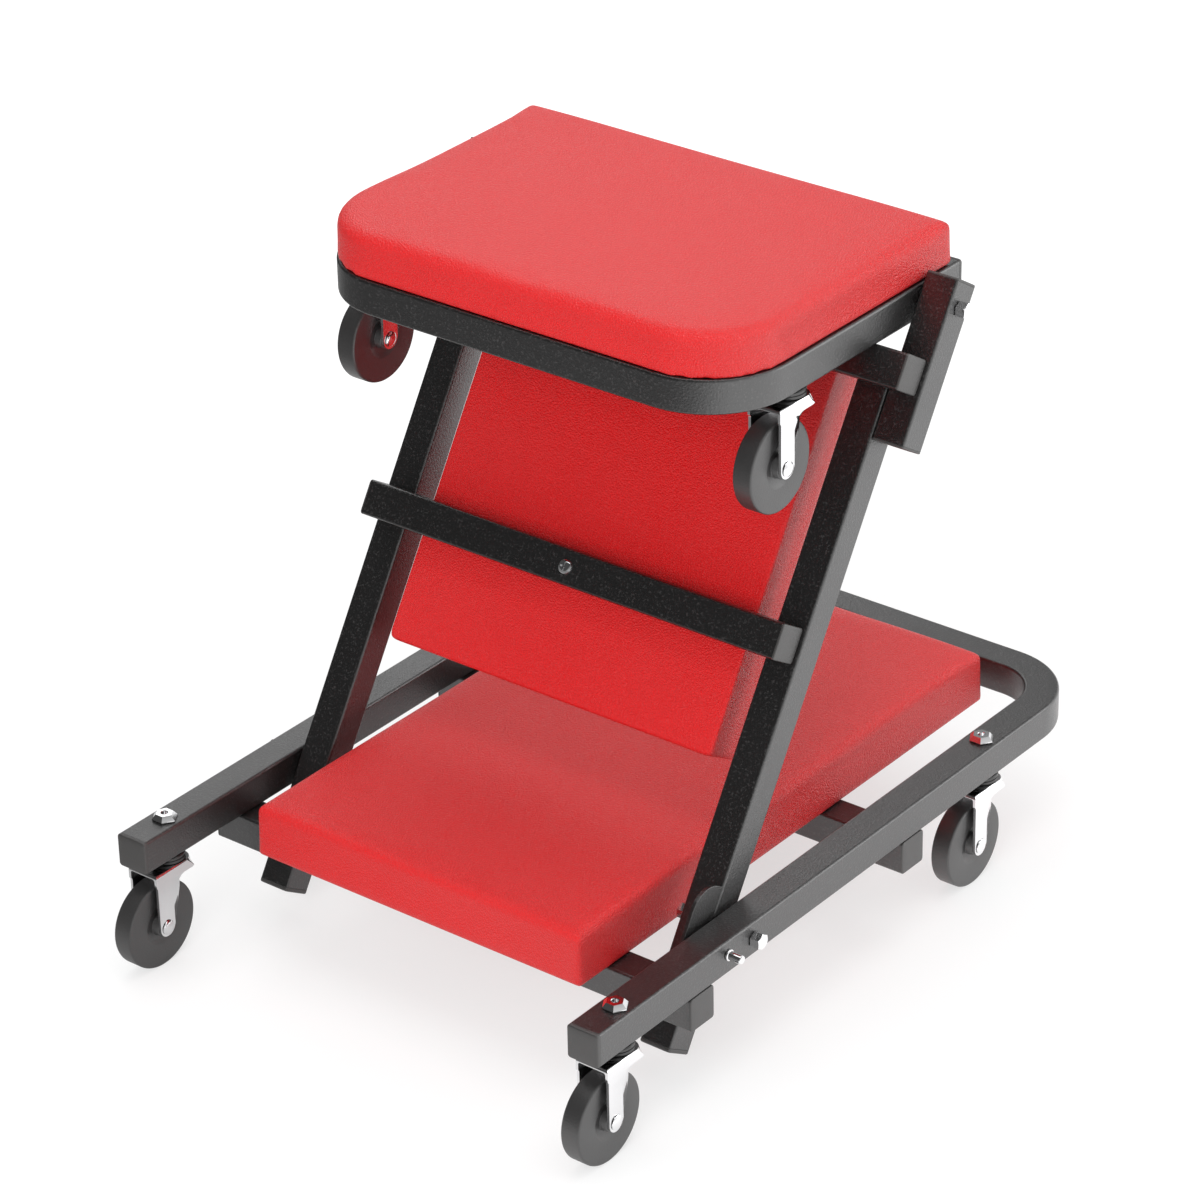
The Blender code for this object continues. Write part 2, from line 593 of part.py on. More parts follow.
def build_base(base):
    """Base frame on its crossbars, with its pad, plugs, bolts, lock pin and four casters."""
    path = bent_path(BASE_RAIL_X, PLUG_END, BASE_LENGTH - TUBE / 2, BASE_BEND)
    frame = square_tube("base_frame", path, base)
    rear_caster_at = BASE_LENGTH - BASE_BEND - REAR_CASTER_PAST_BEND
    lock_at = (LOCK_SIDE * BASE_RAIL_X, BASE_PIVOT_AT - LOCK_FORWARD, LOCK_RISE)
    through = TUBE + 2 * OVERRUN
    holes = [(lock_at, "X", LOCK_HOLE_RADIUS, through)]
    for side in SIDES.values():
        x = side * BASE_RAIL_X
        holes += [((x, y, 0), "Z", STEM_RADIUS + BORE_CLEARANCE, through)
                  for y in (FRONT_CASTER_AT, rear_caster_at)]
        holes.append(((x, BASE_PIVOT_AT, 0), "X", BOLT_RADIUS + BORE_CLEARANCE, through))
    drill(frame, holes)
    lock_pin("lock_pin_right", base, lock_at)
    crossbar("base_crossbar_front", BASE_WIDTH / 2, base, (0, FRONT_CROSSBAR_AT, -STACK))
    rear_at = BASE_LENGTH - REAR_CROSSBAR_FROM_BACK
    crossbar("base_crossbar_rear", BASE_WIDTH / 2, base, (0, rear_at, -STACK))
    size = (PAD_HALF_WIDTH, BASE_PAD_AT, BASE_PAD_BACK, PAD_CORNER, PAD_CORNER, PAD_THICKNESS, PAD_EDGE)
    padded_board("base_pad", "base_board", size, base, (0, 0, -TUBE / 2))
    for label, side in SIDES.items():
        x = side * BASE_RAIL_X
        end_plug("base_end_plug_" + label, base, (x, 0, 0), -1)
        pivot_bolt("base_pivot_bolt_" + label, side, BASE_WIDTH / 2, MID_RAIL_X - TUBE / 2, base,
                   (0, BASE_PIVOT_AT, 0))
        caster("front_" + label, base, (x, FRONT_CASTER_AT, -TUBE / 2))
        caster("rear_" + label, base, (x, rear_caster_at, -TUBE / 2))


def lock_pin(name, base, location):
    """Pull pin through the base rail: collar and knob outside, tip just short of the lock plate."""
    collar = TUBE / 2 + TOUCH_GAP
    neck = collar + LOCK_COLLAR_LENGTH
    knob = neck + LOCK_NECK_LENGTH
    end = knob + LOCK_KNOB_LENGTH
    tip = -(TUBE / 2 + HINGE_GAP - TOUCH_GAP)
    profile = [(0, end), (LOCK_KNOB_RADIUS, end), (LOCK_KNOB_RADIUS, knob), (LOCK_NECK_RADIUS, knob),
               (LOCK_NECK_RADIUS, neck), (LOCK_COLLAR_RADIUS, neck), (LOCK_COLLAR_RADIUS, collar),
               (LOCK_PIN_RADIUS, collar), (LOCK_PIN_RADIUS, tip), (0, tip)]
    turned(name, profile, CHROME, base, location, (0, LOCK_SIDE * math.pi / 2, 0))


def lock_plate(name, mid):
    """Steel plate on the front face of the mid rail, with the hole that the pin enters.

    Its two front corners are rounded, one of them round that hole.
    """
    x = LOCK_SIDE * (MID_RAIL_X + TUBE / 2 - LOCK_PLATE_THICKNESS / 2)
    pin = Matrix.Rotation(-LEAN_ANGLE, 3, "X") @ Vector((x, -LOCK_FORWARD, LOCK_RISE))
    centre = abs(pin.y)
    half_length = centre + LOCK_PLATE_CORNER
    foot = TUBE / 2 + TOUCH_GAP
    outline = arc((centre, pin.z), LOCK_PLATE_CORNER, 0, math.pi / 2, BEND_STEPS)
    outline += arc((-centre, pin.z), LOCK_PLATE_CORNER, math.pi / 2, math.pi, BEND_STEPS)
    outline += [(-half_length, foot), (half_length, foot)]
    mesh = flat_mesh(name, outline, LOCK_PLATE_THICKNESS)
    upright = Matrix(((0, 0, 1, x), (1, 0, 0, 0), (0, 1, 0, 0), (0, 0, 0, 1)))
    mesh.transform(upright)
    plate = add_part(name, mesh, BLACK_COAT, mid)
    drill(plate, [(pin, "X", LOCK_HOLE_RADIUS, LOCK_PLATE_THICKNESS + 2 * OVERRUN)])


def build_mid(mid):
    """Two leaning rails with crossbars in front, the mid pad, brackets for the seat and the lock plate."""
    bolt_hole = BOLT_RADIUS + BORE_CLEARANCE
    through = TUBE + 2 * OVERRUN
    for label, side in SIDES.items():
        x = side * MID_RAIL_X
        run = [(x, PLUG_END - TAIL_REACH), (x, MID_RAIL_END)]
        rail = square_tube("mid_rail_" + label, run, mid, capped=(False, True))
        holes = [((x, 0, 0), "X", bolt_hole, through)]
        if side == LOCK_SIDE:
            # The pin enters this hole when the mid section lies flat.
            holes.append(((x + side * TUBE / 2, LOCK_FORWARD, -LOCK_RISE), "X", LOCK_HOLE_RADIUS, TUBE))
        drill(rail, holes)
        end_plug("tail_plug_" + label, mid, (x, -TAIL_REACH, 0), -1)
        bracket_x = side * BRACKET_X
        run = [(bracket_x, PIVOT_SPAN - BRACKET_BELOW_PIVOT), (bracket_x, PIVOT_SPAN + BRACKET_ABOVE_PIVOT)]
        bracket = square_tube("seat_bracket_" + label, run, mid, capped=(True, True))
        drill(bracket, [((bracket_x, PIVOT_SPAN, 0), "X", bolt_hole, through)])
        pivot_bolt("seat_pivot_bolt_" + label, side, BRACKET_X + TUBE / 2, SEAT_RAIL_X - TUBE / 2, mid,
                   (0, PIVOT_SPAN, 0))
    lock_plate("lock_plate_right", mid)
    half = MID_RAIL_X + TUBE / 2 - MID_CROSSBAR_INSET
    crossbar("mid_crossbar", half, mid, (0, MID_CROSSBAR_AT, STACK))
    # The upper crossbar's top front edge meets the level seat rails from below and stops the seat.
    stop_height = PIVOT_SPAN * math.sin(LEAN_ANGLE) - TUBE / 2 - TOUCH_GAP
    front_face = STACK + TUBE / 2
    stop_at = (stop_height - front_face * math.cos(LEAN_ANGLE)) / math.sin(LEAN_ANGLE)
    half = BRACKET_X + TUBE / 2 - BRACKET_BAR_INSET
    crossbar("mid_upper_crossbar", half, mid, (0, stop_at - TUBE / 2, STACK))
    # Seen from the pad, the crossbars lie underneath, so the pad is turned over in this frame.
    size = (PAD_HALF_WIDTH, -MID_PAD_END, -MID_PAD_START, PAD_CORNER, PAD_CORNER, PAD_THICKNESS, PAD_EDGE)
    padded_board("mid_pad", "mid_board", size, mid, (0, 0, TUBE / 2), (math.pi, 0, 0))


def build_seat(seat):
    """Seat frame with its plugs, pad and two casters."""
    path = bent_path(SEAT_RAIL_X, SEAT_TAIL - PLUG_END, TUBE / 2 - SEAT_REACH, SEAT_BEND)
    frame = square_tube("seat_frame", path, seat)
    caster_at = SEAT_BEND + SEAT_CASTER_PAST_BEND - SEAT_REACH
    size = (SEAT_PAD_HALF_WIDTH, -SEAT_REACH, SEAT_PAD_BACK, SEAT_BEND, PAD_CORNER, SEAT_PAD_THICKNESS,
            SEAT_PAD_EDGE)
    pad_bottom = TUBE / 2 + TOUCH_GAP
    pad = padded_board("seat_pad", "seat_board", size, seat, (0, 0, pad_bottom))
    through = TUBE + 2 * OVERRUN
    holes = []
    pockets = []
    for label, side in SIDES.items():
        x = side * SEAT_RAIL_X
        holes.append(((x, 0, 0), "X", BOLT_RADIUS + BORE_CLEARANCE, through))
        holes.append(((x, caster_at, 0), "Z", STEM_RADIUS + BORE_CLEARANCE, through))
        pockets.append(((x, caster_at, 0), "Z", CASTER_NUT_RADIUS + 2 * BORE_CLEARANCE,
                        2 * (CASTER_NUT_HEIGHT + TOUCH_GAP)))
        end_plug("seat_end_plug_" + label, seat, (x, SEAT_TAIL, 0), 1)
        caster("seat_" + label, seat, (x, caster_at, -TUBE / 2))
    drill(frame, holes)
    drill(pad, pockets)


def build():
    """Set up the pivots and build the three sections on them."""
    base = datum("base_datum", None, (0, -BASE_MIDDLE, RAIL_HEIGHT))
    mid = datum("mid_pivot", base, (0, BASE_PIVOT_AT, 0), (LEAN_ANGLE, 0, 0))
    seat = datum("seat_pivot", mid, (0, PIVOT_SPAN, 0), (-LEAN_ANGLE, 0, 0))
    build_base(base)
    build_mid(mid)
    build_seat(seat)


build()
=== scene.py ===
"""Looks for a folding mechanic creeper that stands up as a rolling seat.

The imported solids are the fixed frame. Each sub-assembly rebuilds its pieces there with finer shapes
and procedural finishes, and every piece rides on the body that carries it. Units are metres, +Z is up
and +Y points to the closed back end of the base.
"""

import logging
import math
from dataclasses import dataclass
from enum import Enum
from typing import Sequence

import bmesh
import bpy
import numpy as np
from mathutils import Matrix, Vector


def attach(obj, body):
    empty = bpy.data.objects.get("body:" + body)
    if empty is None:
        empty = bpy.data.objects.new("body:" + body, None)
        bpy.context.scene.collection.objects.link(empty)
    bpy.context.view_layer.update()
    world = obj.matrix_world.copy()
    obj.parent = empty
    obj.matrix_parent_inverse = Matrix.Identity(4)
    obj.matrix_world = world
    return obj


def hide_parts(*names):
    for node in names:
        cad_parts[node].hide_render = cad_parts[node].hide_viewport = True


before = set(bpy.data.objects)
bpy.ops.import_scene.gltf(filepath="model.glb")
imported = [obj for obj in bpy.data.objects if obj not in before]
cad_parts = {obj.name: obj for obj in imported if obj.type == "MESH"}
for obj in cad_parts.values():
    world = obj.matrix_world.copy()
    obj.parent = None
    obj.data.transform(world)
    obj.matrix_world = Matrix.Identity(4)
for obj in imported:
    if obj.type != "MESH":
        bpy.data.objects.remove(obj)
LOG = logging.getLogger("creeper")
Point = tuple[float, float, float]
Flat = tuple[float, float]
MERGE = 1e-6
STILL = Matrix.Identity(4)
FACE_X = Matrix(((0, 0, 1, 0), (1, 0, 0, 0), (0, 1, 0, 0), (0, 0, 0, 1)))
FACE_Y = Matrix(((1, 0, 0, 0), (0, 0, 1, 0), (0, 1, 0, 0), (0, 0, 0, 1)))
TURN_X = Matrix.Rotation(math.pi / 2, 4, "Y")
EVEN_SHADING = ("WEIGHTED_NORMAL", {"keep_sharp": True, "weight": 100})


@dataclass(frozen=True)
class CreeperSizes:
    """Sizes that several pieces share."""

    tube: float = 0.025
    wall: float = 0.0015
    tube_corner: float = 0.0021
    touch: float = 0.0003
    hinge_gap: float = 0.002
    base_middle: float = 0.28055
    rail_height: float = 0.0945
    base_rail_x: float = 0.1955
    mid_rail_x: float = 0.1685
    bracket_x: float = 0.1938
    seat_rail_x: float = 0.1668
    base_pivot: float = 0.167
    pivot_span: float = 0.4345
    lean: float = math.radians(58.0)
    plug_flange: float = 0.003
    cap_flange: float = 0.0016
    pad_corner: float = 0.004
    screw_radius: float = 0.0052
    screw_height: float = 0.0026
    lock_forward: float = 0.028
    lock_rise: float = 0.002

    @property
    def half(self) -> float:
        """Half the side of the tube."""
        return self.tube / 2

    @property
    def stack(self) -> float:
        """Distance between the centres of two tubes that lie on each other."""
        return self.tube + self.touch


SIZES = CreeperSizes()


class Section(Enum):
    """The three folding sections, each with a frame of its own."""

    BASE = "base"
    MID = "mid"
    SEAT = "seat"

    @property
    def place(self) -> Matrix:
        """Matrix from the section's own frame to the creeper's."""
        base = Matrix.Translation((0, -SIZES.base_middle, SIZES.rail_height))
        if self is Section.BASE:
            return base
        lean = Matrix.Rotation(SIZES.lean, 4, "X")
        mid = base @ Matrix.Translation((0, SIZES.base_pivot, 0)) @ lean
        if self is Section.MID:
            return mid
        return mid @ Matrix.Translation((0, SIZES.pivot_span, 0)) @ lean.inverted()


class Side(Enum):
    """Left or right half, with the sign of its X."""

    LEFT = -1
    RIGHT = 1

    @property
    def label(self) -> str:
        """The word that node names use for the side."""
        return self.name.lower()

    @property
    def turn(self) -> Matrix:
        """Turn about the height that brings a right-hand piece to this side."""
        return Matrix.Rotation(0.0 if self is Side.RIGHT else math.pi, 4, "Z")

    @staticmethod
    def names(stem: str) -> list[str]:
        """A name for each side."""
        return [f"{stem}_{side.label}" for side in Side]


LOCK_SIDE = Side.RIGHT


class Slot(Enum):
    """Material slots that the pieces take their finish from."""

    COAT = "frame_coat"
    VINYL = "pad_vinyl"
    PLUG = "plug_plastic"
    WHEEL = "wheel_plastic"
    BRIGHT = "bright_hardware"
    SWIVEL = "swivel_steel"


class Effect(Enum):
    """Shader node groups that several finishes share."""

    PEBBLE = "pebble_grain"
    SPECKLE = "fine_speckle"
    MOTTLE = "soft_mottle"


class NodeSketch:
    """Adds nodes to one tree and links them."""

    def __init__(self, tree: bpy.types.NodeTree) -> None:
        """Keep the tree that the nodes go into."""
        self.tree = tree

    def feed(self, socket: bpy.types.NodeSocket, value: object) -> None:
        """Give an input its value.

        Args:
            socket: the input.
            value: a plain value, or an output to link.
        """
        if isinstance(value, bpy.types.NodeSocket):
            self.tree.links.new(value, socket)
        else:
            socket.default_value = value

    def add(self, kind: str, inputs: dict | None = None, **settings: object) -> bpy.types.Node:
        """Add a node.

        Args:
            kind: Blender's type name of the node.
            inputs: values, or outputs to link, by the name or index of the input.
            settings: properties of the node.

        Returns:
            The new node.
        """
        node = self.tree.nodes.new(kind)
        for key, value in settings.items():
            setattr(node, key, value)
        for key, value in (inputs or {}).items():
            self.feed(node.inputs[key], value)
        return node

    def math(self, operation: str, first: object, second: object) -> bpy.types.NodeSocket:
        """Add a Math node for two values or sockets and return its output."""
        return self.add("ShaderNodeMath", {0: first, 1: second}, operation=operation).outputs[0]

    def times(self, first: object, second: object) -> bpy.types.NodeSocket:
        """Multiply two values or sockets."""
        return self.math("MULTIPLY", first, second)

    def vector(self, operation: str, inputs: dict, result: str = "Vector") -> bpy.types.NodeSocket:
        """Add a Vector Math node and return the named output."""
        return self.add("ShaderNodeVectorMath", inputs, operation=operation).outputs[result]

    def spread(self, value: object, start: object, end: object, *to: float) -> bpy.types.NodeSocket:
        """Map a value from one range to another, clamped, and return the result."""
        limits = {"From Min": start, "From Max": end, "To Min": to[0], "To Max": to[1]}
        return self.add("ShaderNodeMapRange", {"Value": value, **limits}).outputs["Result"]

    def blend(self, factor: object, first: object, second: Point) -> bpy.types.NodeSocket:
        """Mix two colours.

        Args:
            factor: share of the second colour.
            first: colour or socket.
            second: colour.

        Returns:
            The mixed colour.
        """
        node = self.add("ShaderNodeMix", data_type="RGBA")
        inputs = {socket.identifier: socket for socket in node.inputs}
        self.feed(inputs["Factor_Float"], factor)
        self.feed(inputs["A_Color"], (*first, 1) if isinstance(first, tuple) else first)
        self.feed(inputs["B_Color"], (*second, 1))
        return next(socket for socket in node.outputs if socket.identifier == "Result_Color")


class EffectGroup:
    """A shader node group that turns a place on the surface into masks and heights."""

    def __init__(self, effect: Effect, values: Sequence[str], results: Sequence[str]) -> None:
        """Make the group's sockets.

        Args:
            effect: which effect the group makes.
            values: names of its number inputs, besides Vector.
            results: names of its number outputs.
        """
        self.tree = bpy.data.node_groups.new(effect.value, "ShaderNodeTree")
        face = self.tree.interface
        face.new_socket("Vector", in_out="INPUT", socket_type="NodeSocketVector")
        for way, names in (("INPUT", values), ("OUTPUT", results)):
            for name in names:
                face.new_socket(name, in_out=way, socket_type="NodeSocketFloat")
        self.sketch = NodeSketch(self.tree)
        self.given = self.sketch.add("NodeGroupInput").outputs

    def finish(self, results: dict[str, bpy.types.NodeSocket]) -> bpy.types.NodeTree:
        """Link the outputs by name and return the tree."""
        self.sketch.add("NodeGroupOutput", results)
        return self.tree


def pebble_group() -> bpy.types.NodeTree:
    """Make the group for pressed leather grain.

    Returns:
        A group for rounded pebbles with fine creases between them.
    """
    group = EffectGroup(Effect.PEBBLE, ("Scale", "Wander"), ("Height", "Crease"))
    sketch, given = group.sketch, group.given
    drift = sketch.add("ShaderNodeTexNoise", {"Vector": given["Vector"], "Detail": 2.0,
                                              "Scale": sketch.times(given["Scale"], 0.45)})
    centred = sketch.vector("SUBTRACT", {0: drift.outputs["Color"], 1: (0.5, 0.5, 0.5)})
    reach = sketch.math("DIVIDE", given["Wander"], given["Scale"])
    scaled = sketch.vector("SCALE", {0: centred, "Scale": reach})
    cells = {"Vector": sketch.vector("ADD", {0: given["Vector"], 1: scaled}), "Scale": given["Scale"]}
    rounds = sketch.add("ShaderNodeTexVoronoi", {**cells, "Smoothness": 0.3}, feature="SMOOTH_F1")
    edges = sketch.add("ShaderNodeTexVoronoi", cells, feature="DISTANCE_TO_EDGE")
    dome = sketch.spread(rounds.outputs["Distance"], 0.0, 0.75, 1.0, 0.0)
    crease = sketch.spread(edges.outputs["Distance"], 0.0, 0.16, 1.0, 0.0)
    height = sketch.math("SUBTRACT", dome, sketch.times(crease, 0.35))
    return group.finish({"Height": height, "Crease": crease})


def speckle_group() -> bpy.types.NodeTree:
    """Make the group for the fine unevenness of a sprayed or moulded surface.

    Returns:
        A group for a fine height, with flecks where it is above a level.
    """
    group = EffectGroup(Effect.SPECKLE, ("Scale", "Fleck"), ("Height", "Fleck"))
    sketch, given = group.sketch, group.given
    fine = sketch.add("ShaderNodeTexNoise", {"Vector": given["Vector"], "Scale": given["Scale"],
                                             "Detail": 3.0, "Roughness": 0.6}).outputs[0]
    top = sketch.math("ADD", given["Fleck"], 0.12)
    return group.finish({"Height": fine, "Fleck": sketch.spread(fine, given["Fleck"], top, 0.0, 1.0)})


def mottle_group() -> bpy.types.NodeTree:
    """Make the group for broad, faint patches, as handling and dust leave them.

    Returns:
        A group for a mask of patches.
    """
    group = EffectGroup(Effect.MOTTLE, ("Scale",), ("Patch",))
    sketch, given = group.sketch, group.given
    broad = sketch.add("ShaderNodeTexNoise", {"Vector": given["Vector"], "Scale": given["Scale"],
                                              "Detail": 4.0, "Roughness": 0.55})
    return group.finish({"Patch": sketch.spread(broad.outputs[0], 0.32, 0.68, 0.0, 1.0)})


GROUPS = {Effect.PEBBLE: pebble_group(), Effect.SPECKLE: speckle_group(), Effect.MOTTLE: mottle_group()}


class Surface:
    """One material under construction: its nodes, its shader and the surface's own coordinates."""

    def __init__(self, name: str) -> None:
        """Start a material with an unlinked shader."""
        self.material = bpy.data.materials.new(name)
        self.material.use_nodes = True
        self.sketch = NodeSketch(self.material.node_tree)
        self.shader = self.material.node_tree.nodes["Principled BSDF"]
        self.where = self.sketch.add("ShaderNodeTexCoord").outputs["Object"]

    def effect(self, effect: Effect, **values: float) -> bpy.types.NodeSocket:
        """Place a shared effect group with its own values and return its outputs."""
        inputs = {"Vector": self.where, **{name.title(): value for name, value in values.items()}}
        return self.sketch.add("ShaderNodeGroup", inputs, node_tree=GROUPS[effect]).outputs

    def tone(self, mask: object, share: float, first: object, second: Point) -> bpy.types.NodeSocket:
        """Mix a share of a second colour into a first one where a mask says."""
        return self.sketch.blend(self.sketch.times(mask, share), first, second)

    def set(self, **values: object) -> None:
        """Give the shader's inputs values or sockets; underscores stand for the spaces in a name."""
        for name, value in values.items():
            self.sketch.feed(self.shader.inputs[name.replace("_", " ")], value)

    def bump(self, height: bpy.types.NodeSocket, relief: Flat) -> None:
        """Raise the surface by a height in the shading; the relief is a strength and a depth."""
        inputs = {"Height": height, "Strength": relief[0], "Distance": relief[1]}
        self.set(Normal=self.sketch.add("ShaderNodeBump", inputs).outputs[0])


@dataclass(frozen=True)
class VinylFinish:
    """Red upholstery vinyl with a pressed leather grain, with painted shade darkening the grain's creases."""

    slot: Slot = Slot.VINYL
    colour: Point = (0.750, 0.0075, 0.0095)
    # painted shade: the darker red below is mixed into the grain's creases in place of the shade that falls
    # there
    shade: Point = (0.560, 0.0045, 0.0060)
    bloom: Point = (0.790, 0.014, 0.016)
    shade_share: float = 0.55
    bloom_share: float = 0.35
    grain: float = 680.0
    wander: float = 0.9
    pores: float = 2600.0
    pore_depth: float = 0.18
    patches: float = 7.0
    roughness: Flat = (0.31, 0.37)
    crease_roughness: float = 0.12
    reflection: float = 0.85
    relief: Flat = (0.90, 0.0005)

    def material(self) -> bpy.types.Material:
        """Build the material."""
        surface = Surface("red_vinyl")
        sketch = surface.sketch
        grain = surface.effect(Effect.PEBBLE, scale=self.grain, wander=self.wander)
        pores = surface.effect(Effect.SPECKLE, scale=self.pores)
        patch = surface.effect(Effect.MOTTLE, scale=self.patches)["Patch"]
        tone = surface.tone(patch, self.bloom_share, self.colour, self.bloom)
        # painted shade: darken the base colour in the grain's creases
        crease_shaded = surface.tone(grain["Crease"], self.shade_share, tone, self.shade)
        rough = sketch.math("ADD", sketch.spread(patch, 0.0, 1.0, *self.roughness),
                            sketch.times(grain["Crease"], self.crease_roughness))
        height = sketch.math("ADD", grain["Height"], sketch.times(pores["Height"], self.pore_depth))
        surface.set(Base_Color=crease_shaded, Roughness=rough, Specular_IOR_Level=self.reflection)
        surface.bump(height, self.relief)
        return surface.material


@dataclass(frozen=True)
class CoatFinish:
    """Black powder coat on the tubes, with a fine orange peel."""

    slot: Slot = Slot.COAT
    colour: Point = (0.0060, 0.0056, 0.0056)
    fleck: Point = (0.055, 0.052, 0.052)
    fleck_level: float = 0.56
    fleck_share: float = 0.7
    peel: float = 640.0
    patches: float = 9.0
    roughness: Flat = (0.30, 0.38)
    reflection: float = 1.0
    index: float = 1.66
    relief: Flat = (0.80, 0.0004)

    def material(self) -> bpy.types.Material:
        """Build the material."""
        surface = Surface("black_powder_coat")
        peel = surface.effect(Effect.SPECKLE, scale=self.peel, fleck=self.fleck_level)
        patch = surface.effect(Effect.MOTTLE, scale=self.patches)["Patch"]
        tone = surface.tone(peel["Fleck"], self.fleck_share, self.colour, self.fleck)
        rough = surface.sketch.spread(patch, 0.0, 1.0, *self.roughness)
        surface.set(Base_Color=tone, Roughness=rough, Specular_IOR_Level=self.reflection, IOR=self.index)
        surface.bump(peel["Height"], self.relief)
        return surface.material


@dataclass(frozen=True)
class PlasticFinish:
    """Black moulded plastic with a fine spark-eroded grain."""

    slot: Slot
    name: str
    colour: Point
    dusty: Point
    roughness: float
    grain: float
    wander: float = 1.4
    patches: float = 26.0
    dust_share: float = 0.4
    uneven: float = 0.09
    reflection: float = 1.0
    index: float = 1.56
    relief: Flat = (0.20, 0.0003)

    def material(self) -> bpy.types.Material:
        """Build the material."""
        surface = Surface(self.name)
        grain = surface.effect(Effect.PEBBLE, scale=self.grain, wander=self.wander)
        patch = surface.effect(Effect.MOTTLE, scale=self.patches)["Patch"]
        tone = surface.tone(patch, self.dust_share, self.colour, self.dusty)
        rough = surface.sketch.spread(patch, 0.0, 1.0, self.roughness, self.roughness + self.uneven)
        surface.set(Base_Color=tone, Roughness=rough, Specular_IOR_Level=self.reflection, IOR=self.index)
        surface.bump(grain["Height"], self.relief)
        return surface.material


@dataclass(frozen=True)
class MetalFinish:
    """Plated or bare steel, slightly uneven in its polish."""

    slot: Slot
    name: str
    colour: Point
    dull: Point
    roughness: float
    uneven: float
    metallic: float = 1.0
    patches: float = 60.0
    dull_share: float = 0.35
    polish: float = 1500.0
    fleck_level: float = 0.60
    relief: Flat = (0.03, 0.0002)

    def material(self) -> bpy.types.Material:
        """Build the material."""
        surface = Surface(self.name)
        sketch = surface.sketch
        patch = surface.effect(Effect.MOTTLE, scale=self.patches)["Patch"]
        fine = surface.effect(Effect.SPECKLE, scale=self.polish, fleck=self.fleck_level)
        tone = surface.tone(patch, self.dull_share, self.colour, self.dull)
        broad = sketch.spread(patch, 0.0, 1.0, self.roughness, self.roughness + self.uneven)
        rough = sketch.math("ADD", broad, sketch.times(fine["Fleck"], self.uneven))
        surface.set(Base_Color=tone, Roughness=rough, Metallic=self.metallic)
        surface.bump(fine["Height"], self.relief)
        return surface.material


FINISHES = (
    VinylFinish(),
    CoatFinish(),
    PlasticFinish(Slot.PLUG, "plug_plastic", (0.034, 0.032, 0.031), (0.048, 0.046, 0.045), 0.46, 900.0),
    PlasticFinish(Slot.WHEEL, "wheel_plastic", (0.026, 0.025, 0.025), (0.040, 0.039, 0.039), 0.38, 760.0),
    MetalFinish(Slot.BRIGHT, "bright_plating", (0.88, 0.88, 0.89), (0.80, 0.80, 0.81), 0.05, 0.05),
    MetalFinish(Slot.SWIVEL, "dark_swivel_steel", (0.10, 0.10, 0.10), (0.06, 0.06, 0.06), 0.30, 0.12, 0.9),
)
MATERIALS = {finish.slot: finish.material() for finish in FINISHES}


def link_object(name: str, mesh: bpy.types.Mesh) -> bpy.types.Object:
    """Put a mesh in the scene as an object at the origin and return the object."""
    item = bpy.data.objects.new(name, mesh)
    bpy.context.scene.collection.objects.link(item)
    return item


def plain_mesh(name: str, shape: bmesh.types.BMesh) -> bpy.types.Mesh:
    """Turn a bmesh into a mesh, free the bmesh and return the mesh."""
    mesh = bpy.data.meshes.new(name)
    shape.to_mesh(mesh)
    shape.free()
    return mesh


def shaded(mesh: bpy.types.Mesh, sharp: float) -> bpy.types.Mesh:
    """Shade a mesh smooth, apart from edges past an angle in degrees, and return it."""
    mesh.shade_smooth()
    mesh.set_sharp_from_angle(angle=math.radians(sharp))
    return mesh


def closed_mesh(name: str, shape: bmesh.types.BMesh) -> bpy.types.Mesh:
    """Merge a bmesh's doubles, face everything outwards and return it as a mesh."""
    bmesh.ops.remove_doubles(shape, verts=shape.verts, dist=MERGE)
    bmesh.ops.recalc_face_normals(shape, faces=shape.faces)
    return plain_mesh(name, shape)


def open_mesh(mesh: bpy.types.Mesh) -> bmesh.types.BMesh:
    """Return a bmesh with a mesh's shape."""
    shape = bmesh.new()
    shape.from_mesh(mesh)
    return shape


def evaluated_mesh(item: bpy.types.Object) -> bpy.types.Mesh:
    """Return an object's mesh with its modifiers applied, and remove the object."""
    graph = bpy.context.evaluated_depsgraph_get()
    mesh = bpy.data.meshes.new_from_object(item.evaluated_get(graph), depsgraph=graph)
    bpy.data.objects.remove(item, do_unlink=True)
    return mesh


def with_modifiers(mesh: bpy.types.Mesh, *modifiers: tuple[str, dict]) -> bpy.types.Mesh:
    """Apply modifiers to a mesh.

    Args:
        mesh: the mesh to change.
        modifiers: Blender's type name of each modifier, with its settings.

    Returns:
        A new mesh.
    """
    item = link_object(mesh.name, mesh)
    for kind, settings in modifiers:
        modifier = item.modifiers.new(kind.lower(), kind)
        for key, value in settings.items():
            setattr(modifier, key, value)
    return evaluated_mesh(item)


def softened(mesh: bpy.types.Mesh, width: float) -> bpy.types.Mesh:
    """Round the sharp edges of a hard piece and even out its shading.

    Args:
        mesh: the piece.
        width: width of the rounding.

    Returns:
        A new mesh.
    """
    mesh.shade_smooth()
    bevel = {"width": width, "segments": 2, "limit_method": "ANGLE", "angle_limit": math.radians(32),
             "use_clamp_overlap": True, "miter_outer": "MITER_ARC"}
    return with_modifiers(mesh, ("BEVEL", bevel), EVEN_SHADING)


def cut(mesh: bpy.types.Mesh, *cutters: bpy.types.Mesh) -> bpy.types.Mesh:
    """Cut meshes out of another one.

    Args:
        mesh: the mesh to cut.
        cutters: the meshes to take away.

    Returns:
        A new mesh.
    """
    items = [link_object("cutter", cutter) for cutter in cutters]
    settings = [("BOOLEAN", {"object": item, "operation": "DIFFERENCE", "solver": "EXACT"}) for item in items]
    result = with_modifiers(mesh, *settings)
    for item in items:
        bpy.data.objects.remove(item, do_unlink=True)
    return result


